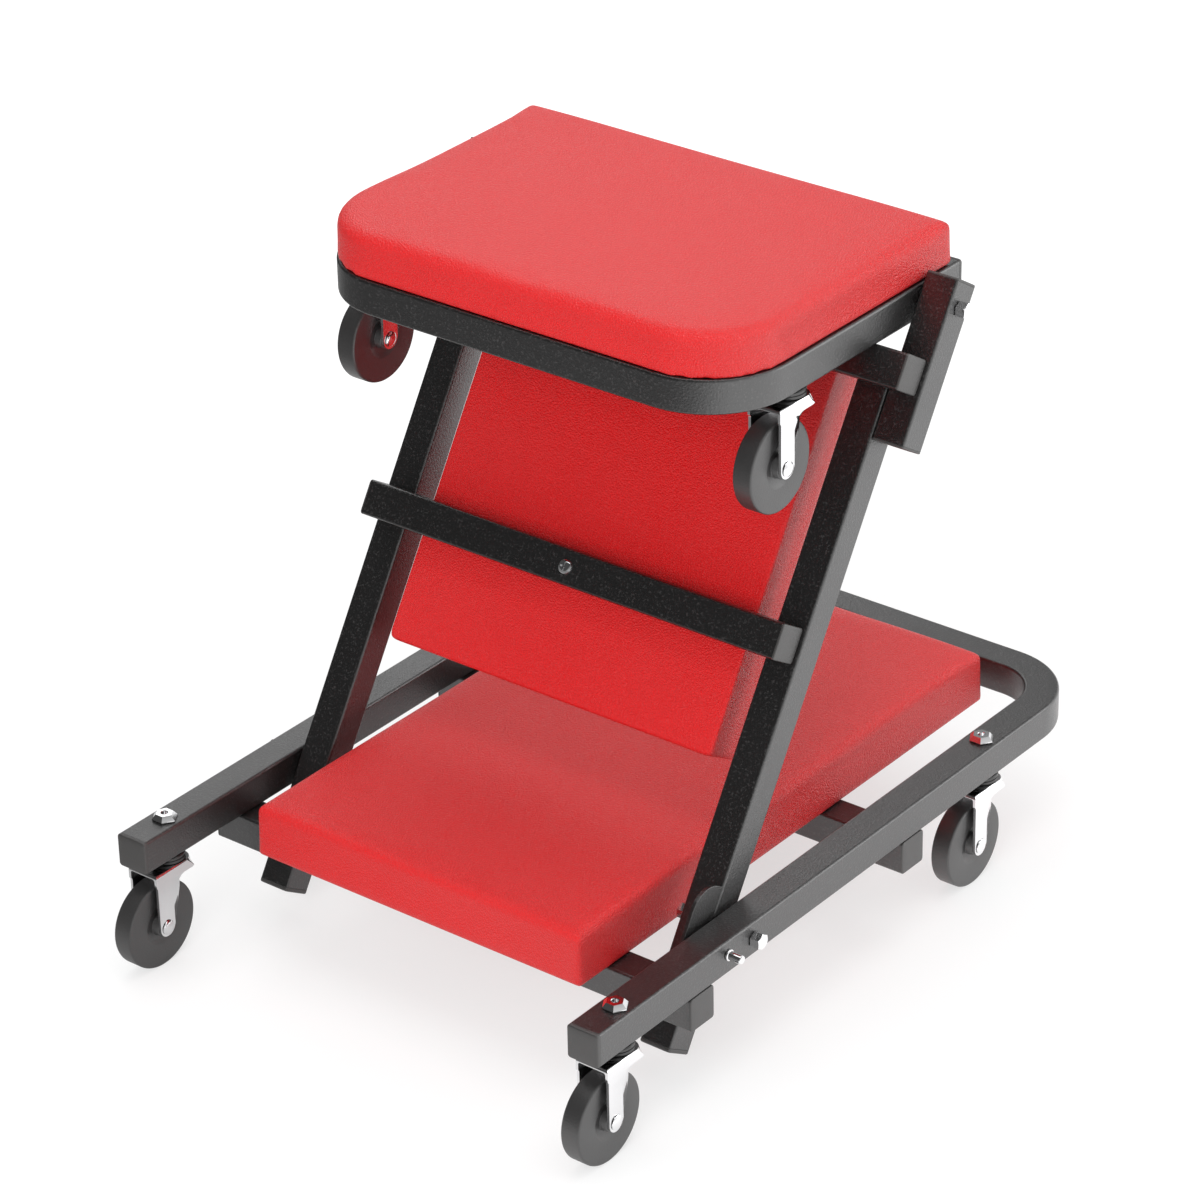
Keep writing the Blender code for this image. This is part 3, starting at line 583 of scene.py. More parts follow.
def add_piece(name: str, mesh: bpy.types.Mesh, slot: Slot, body: str, nodes: Sequence[str],
              place: Matrix) -> bpy.types.Object:
    """Dress a mesh and hand it to the body that carries it.

    Args:
        name: name of the piece.
        mesh: its shape.
        slot: material slot of its finish.
        body: body that it rides on.
        nodes: CAD nodes that it stands for.
        place: matrix from the mesh's own frame to the creeper's.

    Returns:
        The piece's object.
    """
    mesh.transform(place)
    mesh.materials.clear()
    mesh.materials.append(MATERIALS[slot])
    item = link_object(name, mesh)
    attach(item, body)
    if nodes:
        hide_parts(*nodes)
    LOG.info("%s: %d faces on %s", name, len(mesh.polygons), body)
    return item


def turns(count: int) -> list[float]:
    """Angles of evenly spaced directions round a circle."""
    return [2 * math.pi * k / count for k in range(count)]


def ring_points(radii: Sequence[float], heights: Sequence[float]) -> list[Point]:
    """Points in evenly spaced directions, with a radius and a height for each."""
    return [(r * math.cos(a), r * math.sin(a), z) for r, z, a in zip(radii, heights, turns(len(radii)))]


def hex_reach(count: int) -> list[float]:
    """Distance to the outline of a hexagon in evenly spaced directions, one at its corners."""
    turn = math.pi / 3
    return [math.cos(turn / 2) / math.cos(a % turn - turn / 2) for a in turns(count)]


def arc(centre: Flat, radius: float, start: float, end: float, steps: int) -> list[Flat]:
    """Points along an arc, both ends included."""
    angles = [start + (end - start) * k / steps for k in range(steps + 1)]
    return [(centre[0] + radius * math.cos(a), centre[1] + radius * math.sin(a)) for a in angles]


def rod(radius: float, start: float, end: float) -> list[Flat]:
    """Profile of a plain round rod."""
    return [(0, start), (radius, start), (radius, end), (0, end)]


def rounded_square(side: float, corner: float) -> list[Flat]:
    """Outline of a square with rounded corners.

    Args:
        side: its full width.
        corner: radius of its corners.

    Returns:
        Points round the outline.
    """
    reach = side / 2 - corner
    points = []
    for quarter, (x, y) in enumerate(((1, 1), (-1, 1), (-1, -1), (1, -1))):
        start = quarter * math.pi / 2
        points += arc((x * reach, y * reach), corner, start, start + math.pi / 2, 5)
    return points


def rounded_slot(half: float, low: float, high: float, corner: float) -> list[Flat]:
    """Outline of an upright slot with two rounded corners at its top.

    Args:
        half: half its width.
        low: height of its foot.
        high: height of its top.
        corner: radius of the corners.

    Returns:
        Points round the outline.
    """
    outline = [(-half, low), (half, low)]
    outline += arc((half - corner, high - corner), corner, 0.0, math.pi / 2, 4)
    outline += arc((corner - half, high - corner), corner, math.pi / 2, math.pi, 4)
    return outline


def bridge(shape: bmesh.types.BMesh, upper: list, lower: list, count: int) -> None:
    """Join two loops of points with faces; a loop of one point is a pole.

    Args:
        shape: the bmesh.
        upper: points of one loop.
        lower: points of the other loop.
        count: number of faces round the loops.
    """
    for k in range(count):
        after = (k + 1) % count
        corners = [upper[k % len(upper)], lower[k % len(lower)],
                   lower[after % len(lower)], upper[after % len(upper)]]
        unique = list(dict.fromkeys(corners))
        if len(unique) > 2:
            shape.faces.new(unique)


def add_turned(shape: bmesh.types.BMesh, profile: Sequence[Flat], place: Matrix, segments: int,
               ring: bool = False) -> None:
    """Add a turned form to a bmesh.

    Args:
        shape: the bmesh.
        profile: radius and height along the local Z, from one end to the other.
        place: matrix from the turned form's frame.
        segments: number of facets round it.
        ring: whether the profile closes on itself, round a bore.
    """
    loops = []
    for radius, height in profile:
        angles = turns(segments) if radius > MERGE else [0.0]
        loops.append([shape.verts.new(place @ Vector((radius * math.cos(a), radius * math.sin(a), height)))
                      for a in angles])
    pairs = list(zip(loops, loops[1:]))
    if ring:
        pairs.append((loops[-1], loops[0]))
    for upper, lower in pairs:
        bridge(shape, upper, lower, segments)


def turned_mesh(name: str, profile: Sequence[Flat], place: Matrix, segments: int,
                ring: bool = False) -> bpy.types.Mesh:
    """Mesh of one turned form, with what add_turned takes."""
    shape = bmesh.new()
    add_turned(shape, profile, place, segments, ring)
    return closed_mesh(name, shape)


def add_loft(shape: bmesh.types.BMesh, loops: Sequence[Sequence[Point]], place: Matrix) -> None:
    """Add a closed form through loops of points, capped at both ends.

    Args:
        shape: the bmesh.
        loops: the loops, each with the same number of points.
        place: matrix from the form's frame.
    """
    rings = [[shape.verts.new(place @ Vector(point)) for point in loop] for loop in loops]
    for upper, lower in zip(rings, rings[1:]):
        bridge(shape, upper, lower, len(upper))
    shape.faces.new(rings[0])
    shape.faces.new(rings[-1])


def loft_mesh(name: str, loops: Sequence[Sequence[Point]], place: Matrix = STILL) -> bpy.types.Mesh:
    """Mesh of one closed form, with what add_loft takes."""
    shape = bmesh.new()
    add_loft(shape, loops, place)
    return closed_mesh(name, shape)


def prism(name: str, outline: Sequence[Flat], low: float, high: float, axes: Matrix) -> bpy.types.Mesh:
    """Mesh of an outline given a thickness, turned by a matrix."""
    return loft_mesh(name, [[(x, y, z) for x, y in outline] for z in (low, high)], axes)


def start_tree(name: str, inputs: Sequence[tuple[str, str]]) -> tuple:
    """Start a geometry node tree.

    Args:
        name: name of the tree.
        inputs: name and kind of each input, besides Geometry.

    Returns:
        The tree, a sketch for its nodes, and the outputs of its input node.
    """
    tree = bpy.data.node_groups.new(name, "GeometryNodeTree")
    for way in ("INPUT", "OUTPUT"):
        tree.interface.new_socket("Geometry", in_out=way, socket_type="NodeSocketGeometry")
    for label, kind in inputs:
        tree.interface.new_socket(label, in_out="INPUT", socket_type="NodeSocket" + kind)
    sketch = NodeSketch(tree)
    return tree, sketch, sketch.add("NodeGroupInput").outputs


def end_tree(sketch: NodeSketch, result: bpy.types.NodeSocket, finish: bpy.types.NodeSocket) -> None:
    """Realize a tree's instances, give them their finish and link the output."""
    real = sketch.add("GeometryNodeRealizeInstances", {"Geometry": result})
    dressed = sketch.add("GeometryNodeSetMaterial", {"Geometry": real.outputs[0], "Material": finish})
    sketch.add("NodeGroupOutput", {"Geometry": dressed.outputs[0]})


def through_tree(item: bpy.types.Object, tree: bpy.types.NodeTree, values: dict) -> bpy.types.Mesh:
    """Run a geometry node tree on an object, which is removed.

    Args:
        item: the object.
        tree: the tree.
        values: what its inputs are set to, by name.

    Returns:
        The mesh that the tree makes.
    """
    modifier = item.modifiers.new("shape", "NODES")
    modifier.node_group = tree
    for socket in tree.interface.items_tree:
        if socket.in_out == "INPUT" and socket.name in values:
            modifier[socket.identifier] = values[socket.name]
    return evaluated_mesh(item)


class TubeTree:
    """Geometry node tree that sweeps a rounded square along a path with bent corners."""

    INPUTS = (("Side", "Float"), ("Corner", "Float"), ("Corner Steps", "Int"), ("Bend", "Float"),
              ("Bend Steps", "Int"), ("Finish", "Material"))

    def __init__(self) -> None:
        """Build the tree."""
        self.tree, sketch, given = start_tree("square_tube", self.INPUTS)
        path = sketch.add("GeometryNodeMeshToCurve", {"Mesh": given["Geometry"]})
        bent = sketch.add("GeometryNodeFilletCurve", {"Curve": path.outputs[0], "Radius": given["Bend"],
                                                      "Count": given["Bend Steps"]}, mode="POLY")
        upright = sketch.add("GeometryNodeSetCurveNormal", {"Curve": bent.outputs[0]}, mode="Z_UP")
        square = sketch.add("GeometryNodeCurvePrimitiveQuadrilateral",
                            {"Width": given["Side"], "Height": given["Side"]})
        section = sketch.add("GeometryNodeFilletCurve",
                             {"Curve": square.outputs[0], "Radius": given["Corner"],
                              "Count": given["Corner Steps"]}, mode="POLY")
        skin = sketch.add("GeometryNodeCurveToMesh", {"Curve": upright.outputs[0],
                                                      "Profile Curve": section.outputs[0]})
        end_tree(sketch, skin.outputs[0], given["Finish"])

    def wall(self, name: str, path: Sequence[Point], bend: float) -> bpy.types.Mesh:
        """Mesh of an open tube with a wall.

        Args:
            name: name of the mesh.
            path: corner points of the tube's centre line.
            bend: radius of the centre line at the corners.

        Returns:
            The tube's mesh, in the frame of the path.
        """
        guide = bpy.data.meshes.new(name)
        guide.from_pydata(path, [(k, k + 1) for k in range(len(path) - 1)], [])
        values = {"Side": SIZES.tube, "Corner": SIZES.tube_corner, "Corner Steps": 4, "Bend": bend,
                  "Bend Steps": 20, "Finish": MATERIALS[Slot.COAT]}
        mesh = closed_mesh(name, open_mesh(through_tree(link_object(name, guide), self.tree, values)))
        mesh.shade_smooth()
        wall = {"thickness": SIZES.wall, "offset": -1.0, "use_even_offset": True}
        bevel = {"width": 0.0003, "segments": 1, "limit_method": "ANGLE", "angle_limit": math.radians(60)}
        return with_modifiers(mesh, ("SOLIDIFY", wall), ("BEVEL", bevel), EVEN_SHADING)


class RepeatTree:
    """Geometry node tree that sets one shape on every point, turned to the point's facing."""

    INPUTS = (("Shape", "Object"), ("Finish", "Material"))

    def __init__(self) -> None:
        """Build the tree."""
        self.tree, sketch, given = start_tree("repeat_on_points", self.INPUTS)
        shape = sketch.add("GeometryNodeObjectInfo", {"Object": given["Shape"], "As Instance": True})
        facing = sketch.add("GeometryNodeInputNamedAttribute", {"Name": "facing"}, data_type="FLOAT_VECTOR")
        turn = sketch.add("FunctionNodeAlignRotationToVector", {"Vector": facing.outputs[0]}, axis="Z")
        placed = sketch.add("GeometryNodeInstanceOnPoints",
                            {"Points": given["Geometry"], "Instance": shape.outputs["Geometry"],
                             "Rotation": turn.outputs[0]})
        end_tree(sketch, placed.outputs[0], given["Finish"])

    def copies(self, name: str, pattern: bpy.types.Mesh, places: Sequence[tuple[Point, Point]],
               slot: Slot) -> bpy.types.Mesh:
        """Mesh with a copy of a pattern at each place.

        Args:
            name: name of the mesh.
            pattern: the shape, which points along its own +Z.
            places: point and facing of each copy.
            slot: material slot of the finish.

        Returns:
            One mesh with all the copies.
        """
        shape = link_object(name + "_pattern", pattern)
        guide = bpy.data.meshes.new(name)
        guide.from_pydata([point for point, _ in places], [], [])
        facing = guide.attributes.new("facing", "FLOAT_VECTOR", "POINT")
        facing.data.foreach_set("vector", [value for _, way in places for value in way])
        values = {"Shape": shape, "Finish": MATERIALS[slot]}
        mesh = through_tree(link_object(name, guide), self.tree, values)
        bpy.data.objects.remove(shape, do_unlink=True)
        return mesh


TUBES = TubeTree()
REPEATS = RepeatTree()


def plug_pattern(flange: float) -> bpy.types.Mesh:
    """Tube plug: a rounded flange on +Z and a block below it that fits inside the tube.

    Args:
        flange: thickness of the flange.

    Returns:
        The plug's mesh.
    """
    inside = SIZES.tube - 2 * SIZES.wall - 0.0004
    edge = min(0.0011, flange * 0.6)
    loops = [(inside - 0.002, -0.009), (inside, -0.0075), (inside, 0.0), (SIZES.tube, 0.0),
             (SIZES.tube, flange - edge)]
    loops += [(SIZES.tube - 2 * edge * (1 - math.cos(a)), flange - edge + edge * math.sin(a))
              for a in (math.pi / 6, math.pi / 3, math.pi / 2)]
    loops.append((SIZES.tube * 0.55, flange + 0.0002))
    rings = [[(x, y, z) for x, y in rounded_square(side, min(SIZES.tube_corner, side / 6))]
             for side, z in loops]
    return shaded(loft_mesh("plug", rings), 50)


def add_hex(shape: bmesh.types.BMesh, high: float, place: Matrix) -> None:
    """Add the hex head or nut of a pivot bolt along local Z, with a turned chamfer.

    Args:
        shape: the bmesh.
        high: height of the crown above the bearing face.
        place: matrix from the head's frame.
    """
    radius, crown, slope, foot = 0.0059, 0.0049, 0.5, 0.0004
    reach = [radius * share for share in hex_reach(48)]
    count = len(reach)
    shoulder = [high - max(0.0, r - crown) * slope for r in reach]
    loops = [ring_points([r - foot for r in reach], [0.0] * count), ring_points(reach, [foot] * count),
             ring_points(reach, shoulder), ring_points([crown] * count, [high] * count)]
    add_loft(shape, loops, place)


def pivot_bolt_mesh(outer: float, inner: float) -> bpy.types.Mesh:
    """Hex bolt along +X with its nut.

    Args:
        outer: where the head bears.
        inner: where the nut bears.

    Returns:
        The bolt's mesh.
    """
    shape = bmesh.new()
    add_hex(shape, 0.0074, Matrix.Translation((outer + SIZES.touch, 0, 0)) @ TURN_X)
    back = TURN_X @ Matrix.Rotation(math.pi, 4, "X")
    add_hex(shape, 0.0077, Matrix.Translation((inner - SIZES.touch, 0, 0)) @ back)
    add_turned(shape, rod(0.004, -0.001, outer - inner + 0.001),
               Matrix.Translation((inner, 0, 0)) @ TURN_X, 32)
    return shaded(closed_mesh("bolt", shape), 24)


def cross_screw_pattern() -> bpy.types.Mesh:
    """Pan-head screw with a cross recess, pointing along +Z.

    Returns:
        The screw's mesh.
    """
    radius, height = SIZES.screw_radius, SIZES.screw_height
    dome = [(radius * math.cos(a), height * (0.25 + 0.75 * math.sin(a)))
            for a in (0.0, 0.35, 0.7, 1.0, 1.25, 1.45)]
    profile = [(0, -0.004), (0.002, -0.004), (0.002, 0), (radius - 0.0003, 0), *dome, (0, height)]
    arm = [(x * 0.0030, y * 0.00062) for x, y in ((-1, -1), (1, -1), (1, 1), (-1, 1))]
    arms = [prism("recess", arm, height * 0.32, height * 2, Matrix.Rotation(turn, 4, "Z"))
            for turn in (0.0, math.pi / 2)]
    return shaded(cut(turned_mesh("screw", profile, STILL, 40), *arms), 30)


def race_pattern() -> bpy.types.Mesh:
    """Swivel race under the rail, with its stem above and its riveted head below.

    Returns:
        The race's mesh.
    """
    profile = [(0, 0.026), (0.0040, 0.026), (0.0042, 0.025), (0.0042, -0.0003), (0.0118, -0.0003),
               (0.0125, -0.0009), (0.0125, -0.0024), (0.0119, -0.0027), (0.0119, -0.0031), (0.0125, -0.0034),
               (0.0125, -0.0051), (0.0118, -0.0057), (0.006, -0.0057), (0.006, -0.0087), (0.0076, -0.0087),
               (0.008, -0.0092), (0.0076, -0.0104), (0.004, -0.0107), (0, -0.0107)]
    return shaded(turned_mesh("race", profile, STILL, 48), 35)


def caster_nut_pattern() -> bpy.types.Mesh:
    """Low hex nut with sloping sides and a round hole in its flat top.

    Returns:
        The nut's mesh.
    """
    hole, top = 0.0024, 0.0042
    reach = hex_reach(48)
    count = len(reach)
    sides = ((0.0089, 0.0), (0.0093, 0.0004), (0.0092, 0.0010), (0.0066, top - 0.0003), (0.0062, top))
    loops = [ring_points([radius * share for share in reach], [z] * count) for radius, z in sides]
    loops += [ring_points([radius] * count, [z] * count)
              for radius, z in ((hole + 0.0004, top), (hole, top - 0.0004), (hole, top - 0.0030))]
    return shaded(loft_mesh("caster_nut", loops), 26)


class SectionPieces:
    """Adds pieces to one folding section, in the section's own frame."""

    section: Section

    def add(self, name: str, mesh: bpy.types.Mesh, slot: Slot, nodes: Sequence[str] = (),
            local: Matrix = STILL) -> bpy.types.Object:
        """Add a piece that rides on the section, with what add_piece takes."""
        return add_piece(name, mesh, slot, self.section.value, nodes, self.section.place @ local)

    def add_tube(self, name: str, node: str, path: Sequence[Point], bend: float = 0.0) -> None:
        """Add a coated tube along a path."""
        self.add(name, TUBES.wall(name, path, bend), Slot.COAT, [node])

    def add_copies(self, name: str, pattern: bpy.types.Mesh, places: Sequence[tuple[Point, Point]],
                   slot: Slot, nodes: Sequence[str] = ()) -> None:
        """Add copies of a pattern as one piece."""
        self.add(name, REPEATS.copies(name, pattern, places, slot), slot, nodes)

    def add_caps(self, name: str, places: Sequence[tuple[Point, Point]]) -> None:
        """Add the thin caps of tubes as one piece."""
        self.add_copies(name, plug_pattern(SIZES.cap_flange), places, Slot.PLUG)

    def add_plugs(self, name: str, node: str, x: float, y: float, way: int) -> None:
        """Add the end plugs of both rails, facing along Y, as one piece."""
        ends = [((side.value * x, y, 0), (0, way, 0)) for side in Side]
        self.add_copies(name, plug_pattern(SIZES.plug_flange), ends, Slot.PLUG, Side.names(node))

    def add_bolts(self, name: str, node: str, y: float, outer: float, inner: float) -> None:
        """Add the pivot bolts of both sides.

        Args:
            name: stem of the pieces' names.
            node: stem of the names of the CAD nodes.
            y: where the pivot is.
            outer: distance from the middle where the heads bear.
            inner: distance from the middle where the nuts bear.
        """
        for side in Side:
            local = Matrix.Translation((0, y, 0)) @ side.turn
            self.add(f"{name}_{side.label}", pivot_bolt_mesh(outer, inner), Slot.BRIGHT,
                     [f"{node}_{side.label}"], local)


@dataclass
class Caster:
    """The turning pieces of one swivel caster under a rail, its fork and its wheel."""

    label: str
    section: Section
    x: float
    y: float
    wheel_radius: float = 0.0325
    wheel_width: float = 0.015
    tread: float = 0.0017
    hub_reach: float = 0.0032
    trail: float = 0.0175
    axle_drop: float = 0.0495
    crown_drop: float = 0.0060
    crown_sheet: float = 0.0024
    crown_rear: float = 0.013
    stem_hole: float = 0.0066
    leg_sheet: float = 0.002
    leg_shoulder: float = 0.0195
    foot_radius: float = 0.0070
    skirt: float = 0.0085
    skirt_blend: float = 0.006
    crease: float = -0.0100
    flank_reach: float = 0.0105
    flank_slope: float = 0.35

    @property
    def inner(self) -> float:
        """Half the room between the fork's legs."""
        return self.wheel_width / 2 + self.hub_reach + SIZES.touch

    @property
    def axle(self) -> Matrix:
        """Matrix from the middle of the axle."""
        return Matrix.Translation((0, -self.trail, -self.axle_drop))

    def wheel(self) -> bpy.types.Mesh:
        """Moulded wheel with a flat tread, a dished web and a raised hub.

        Returns:
            The wheel's mesh.
        """
        half, tread = self.wheel_width / 2, self.tread
        hub = half + self.hub_reach
        side = [(0.0044, hub - 0.0004), (0.0048, hub), (0.0074, hub), (0.0078, hub - 0.0004),
                (0.0080, half - 0.0014), (0.0084, half - 0.0018), (0.0128, half - 0.0012),
                (0.0146, half - 0.0002), (0.0156, half)]
        side += [(self.wheel_radius - tread + tread * math.sin(a), half - tread + tread * math.cos(a))
                 for a in (0.0, 0.3, 0.6, 0.95, 1.3, math.pi / 2)]
        profile = side + [(radius, -height) for radius, height in reversed(side)]
        mesh = shaded(turned_mesh("wheel", profile, TURN_X, 96, ring=True), 48)
        mesh.transform(self.axle)
        return mesh

    def leg_outline(self) -> list[Flat]:
        """Outline of the fork seen from its side.

        Returns:
            Points of Y and the height from the rail's underside.
        """
        axle = (-self.trail, -self.axle_drop)
        front = axle[0] - self.foot_radius
        top = -self.crown_drop
        rear, low = 0.0005, top - self.leg_shoulder
        span = (rear - axle[0], low - axle[1])
        leave = math.atan2(span[1], span[0]) - math.acos(self.foot_radius / math.hypot(*span))
        outline = [(front - 0.001, top), (front - 0.001, top - 0.0085), (front - 0.0007, top - 0.0092),
                   (front - 0.0002, top - 0.0098), (front, top - 0.0106)]
        outline += arc(axle, self.foot_radius, math.pi, 2 * math.pi + leave, 20)
        outline += [(rear - 0.0016, low - 0.0035), (rear - 0.0004, low - 0.0002), (rear, low + 0.003)]
        outline += arc((rear + 0.0025, top - 0.011), 0.0025, math.pi, math.pi / 2, 5)
        outline += [(0.0105, top - 0.0085), (0.0122, top - 0.0079), (self.crown_rear, top - 0.0065),
                    (self.crown_rear, top)]
        return outline

    def fork(self) -> bpy.types.Mesh:
        """Pressed fork with its riveted axle.

        Returns:
            The fork's mesh.
        """
        outer = self.inner + self.leg_sheet
        top = -self.crown_drop
        shape = open_mesh(prism("fork", self.leg_outline(), -outer, outer, FACE_X))
        rear = [edge for edge in shape.edges
                if all(vert.co.y > self.crown_rear - MERGE for vert in edge.verts)
                and abs(edge.verts[0].co.x - edge.verts[1].co.x) < MERGE]
        bmesh.ops.bevel(shape, geom=rear, offset=0.009, segments=6, profile=0.5, affect="EDGES")
        folds = [edge for edge in shape.edges if all(vert.co.z > top - MERGE for vert in edge.verts)
                 and all(abs(vert.co.x) > outer - MERGE for vert in edge.verts)]
        bmesh.ops.bevel(shape, geom=folds, offset=0.0022, segments=4, profile=0.5, affect="EDGES")
        room = prism("slot", rounded_slot(self.inner, -0.2, top - self.crown_sheet, 0.0016), -0.04, 0.03,
                     FACE_Y)
        hole = turned_mesh("hole", rod(self.stem_hole, 0.002, -0.012), STILL, 40)
        solid = cut(closed_mesh("fork", shape), room, hole)
        shape = open_mesh(softened(self.creased(solid), 0.00035))
        shape.from_mesh(self.rivet(outer + SIZES.touch))
        mesh = shaded(plain_mesh("fork", shape), 36)
        for edge in mesh.edges:
            ends = [mesh.vertices[index].co for index in edge.vertices]
            if all(abs(end.y - self.crease) < 2e-5 and end.z < top - self.skirt for end in ends):
                edge.use_edge_sharp = True
        return mesh

    def creased(self, mesh: bpy.types.Mesh) -> bpy.types.Mesh:
        """Fold the rear flank of each leg inwards along an upright crease.

        Args:
            mesh: the plain fork.

        Returns:
            A new mesh.
        """
        shape = open_mesh(mesh)
        start = -self.crown_drop - self.skirt
        planes = (((0, self.crease, 0), (0, 1, 0)), ((0, 0, start), (0, 0, 1)),
                  ((0, 0, start - self.skirt_blend), (0, 0, 1)))
        for point, normal in planes:
            geometry = [*shape.verts, *shape.edges, *shape.faces]
            bmesh.ops.bisect_plane(shape, geom=geometry, dist=MERGE, plane_co=point, plane_no=normal)
        for vert in shape.verts:
            past = min(max(vert.co.y - self.crease, 0.0), self.flank_reach)
            share = min(max((start - vert.co.z) / self.skirt_blend, 0.0), 1.0)
            vert.co.x -= math.copysign(past * share * self.flank_slope, vert.co.x)
        return closed_mesh("fork", shape)

    def rivet(self, face: float) -> bpy.types.Mesh:
        """Axle with a domed head on each leg.

        Args:
            face: distance from the middle where the heads bear.

        Returns:
            The axle's mesh.
        """
        head = [(0, face + 0.0019), (0.0016, face + 0.0018), (0.0032, face + 0.0015), (0.0046, face + 0.0010),
                (0.0053, face + 0.0005), (0.0054, face), (0.004, face)]
        profile = head + [(radius, -x) for radius, x in reversed(head)]
        return turned_mesh("rivet", profile, self.axle @ TURN_X, 32)

    def build(self) -> None:
        """Make the caster's turning pieces and hand them to their bodies."""
        place = self.section.place @ Matrix.Translation((self.x, self.y, -SIZES.half))
        fork, wheel = f"fork_{self.label}", f"wheel_{self.label}"
        add_piece(f"pressed_{fork}", self.fork(), Slot.BRIGHT, fork,
                  [f"caster_{fork}", f"caster_axle_{self.label}"], place)
        add_piece(f"moulded_{wheel}", self.wheel(), Slot.WHEEL, wheel, [f"caster_{wheel}"], place)


@dataclass
class CasterSet(SectionPieces):
    """The casters of one section, with the races and nuts that stay on its rails."""

    section: Section
    rows: dict[str, float]
    rail_x: float

    def build(self) -> None:
        """Make the casters, row by row and side by side, and their races and nuts."""
        casters = [Caster(f"{row}_{side.label}", self.section, side.value * self.rail_x, y)
                   for row, y in self.rows.items() for side in Side]
        for caster in casters:
            caster.build()
        rows = (("swivel_races", race_pattern(), "caster_stem", Slot.SWIVEL, -SIZES.half),
                ("caster_nuts", caster_nut_pattern(), "caster_nut", Slot.BRIGHT, SIZES.half + SIZES.touch))
        for name, pattern, node, slot, height in rows:
            places = [((caster.x, caster.y, height), (0, 0, 1)) for caster in casters]
            self.add_copies(f"{self.section.value}_{name}", pattern, places, slot,
                            [f"{node}_{caster.label}" for caster in casters])


def read_points(mesh: bpy.types.Mesh) -> np.ndarray:
    """Vertices of a mesh as rows of x, y and z."""
    flat = np.zeros(len(mesh.vertices) * 3, np.float32)
    mesh.vertices.foreach_get("co", flat)
    return flat.reshape(-1, 3).astype(float)


def write_points(mesh: bpy.types.Mesh, points: np.ndarray) -> None:
    """Set the vertices of a mesh from rows of x, y and z."""
    mesh.vertices.foreach_set("co", points.astype(np.float32).ravel())
    mesh.update()


def evened(mesh: bpy.types.Mesh, values: np.ndarray, rounds: int) -> np.ndarray:
    """Even out values over a mesh.

    Args:
        mesh: the mesh whose edges say which points are neighbours.
        values: one row for each point.
        rounds: how often each point takes the mean of itself and its neighbours.

    Returns:
        The evened rows.
    """
    flat = np.zeros(len(mesh.edges) * 2, np.int32)
    mesh.edges.foreach_get("vertices", flat)
    first, second = flat.reshape(-1, 2).T
    count = 1 + np.bincount(flat, minlength=len(values))[:, None]
    for _ in range(rounds):
        total = values.copy()
        np.add.at(total, first, values[second])
        np.add.at(total, second, values[first])
        values = total / count
    return values


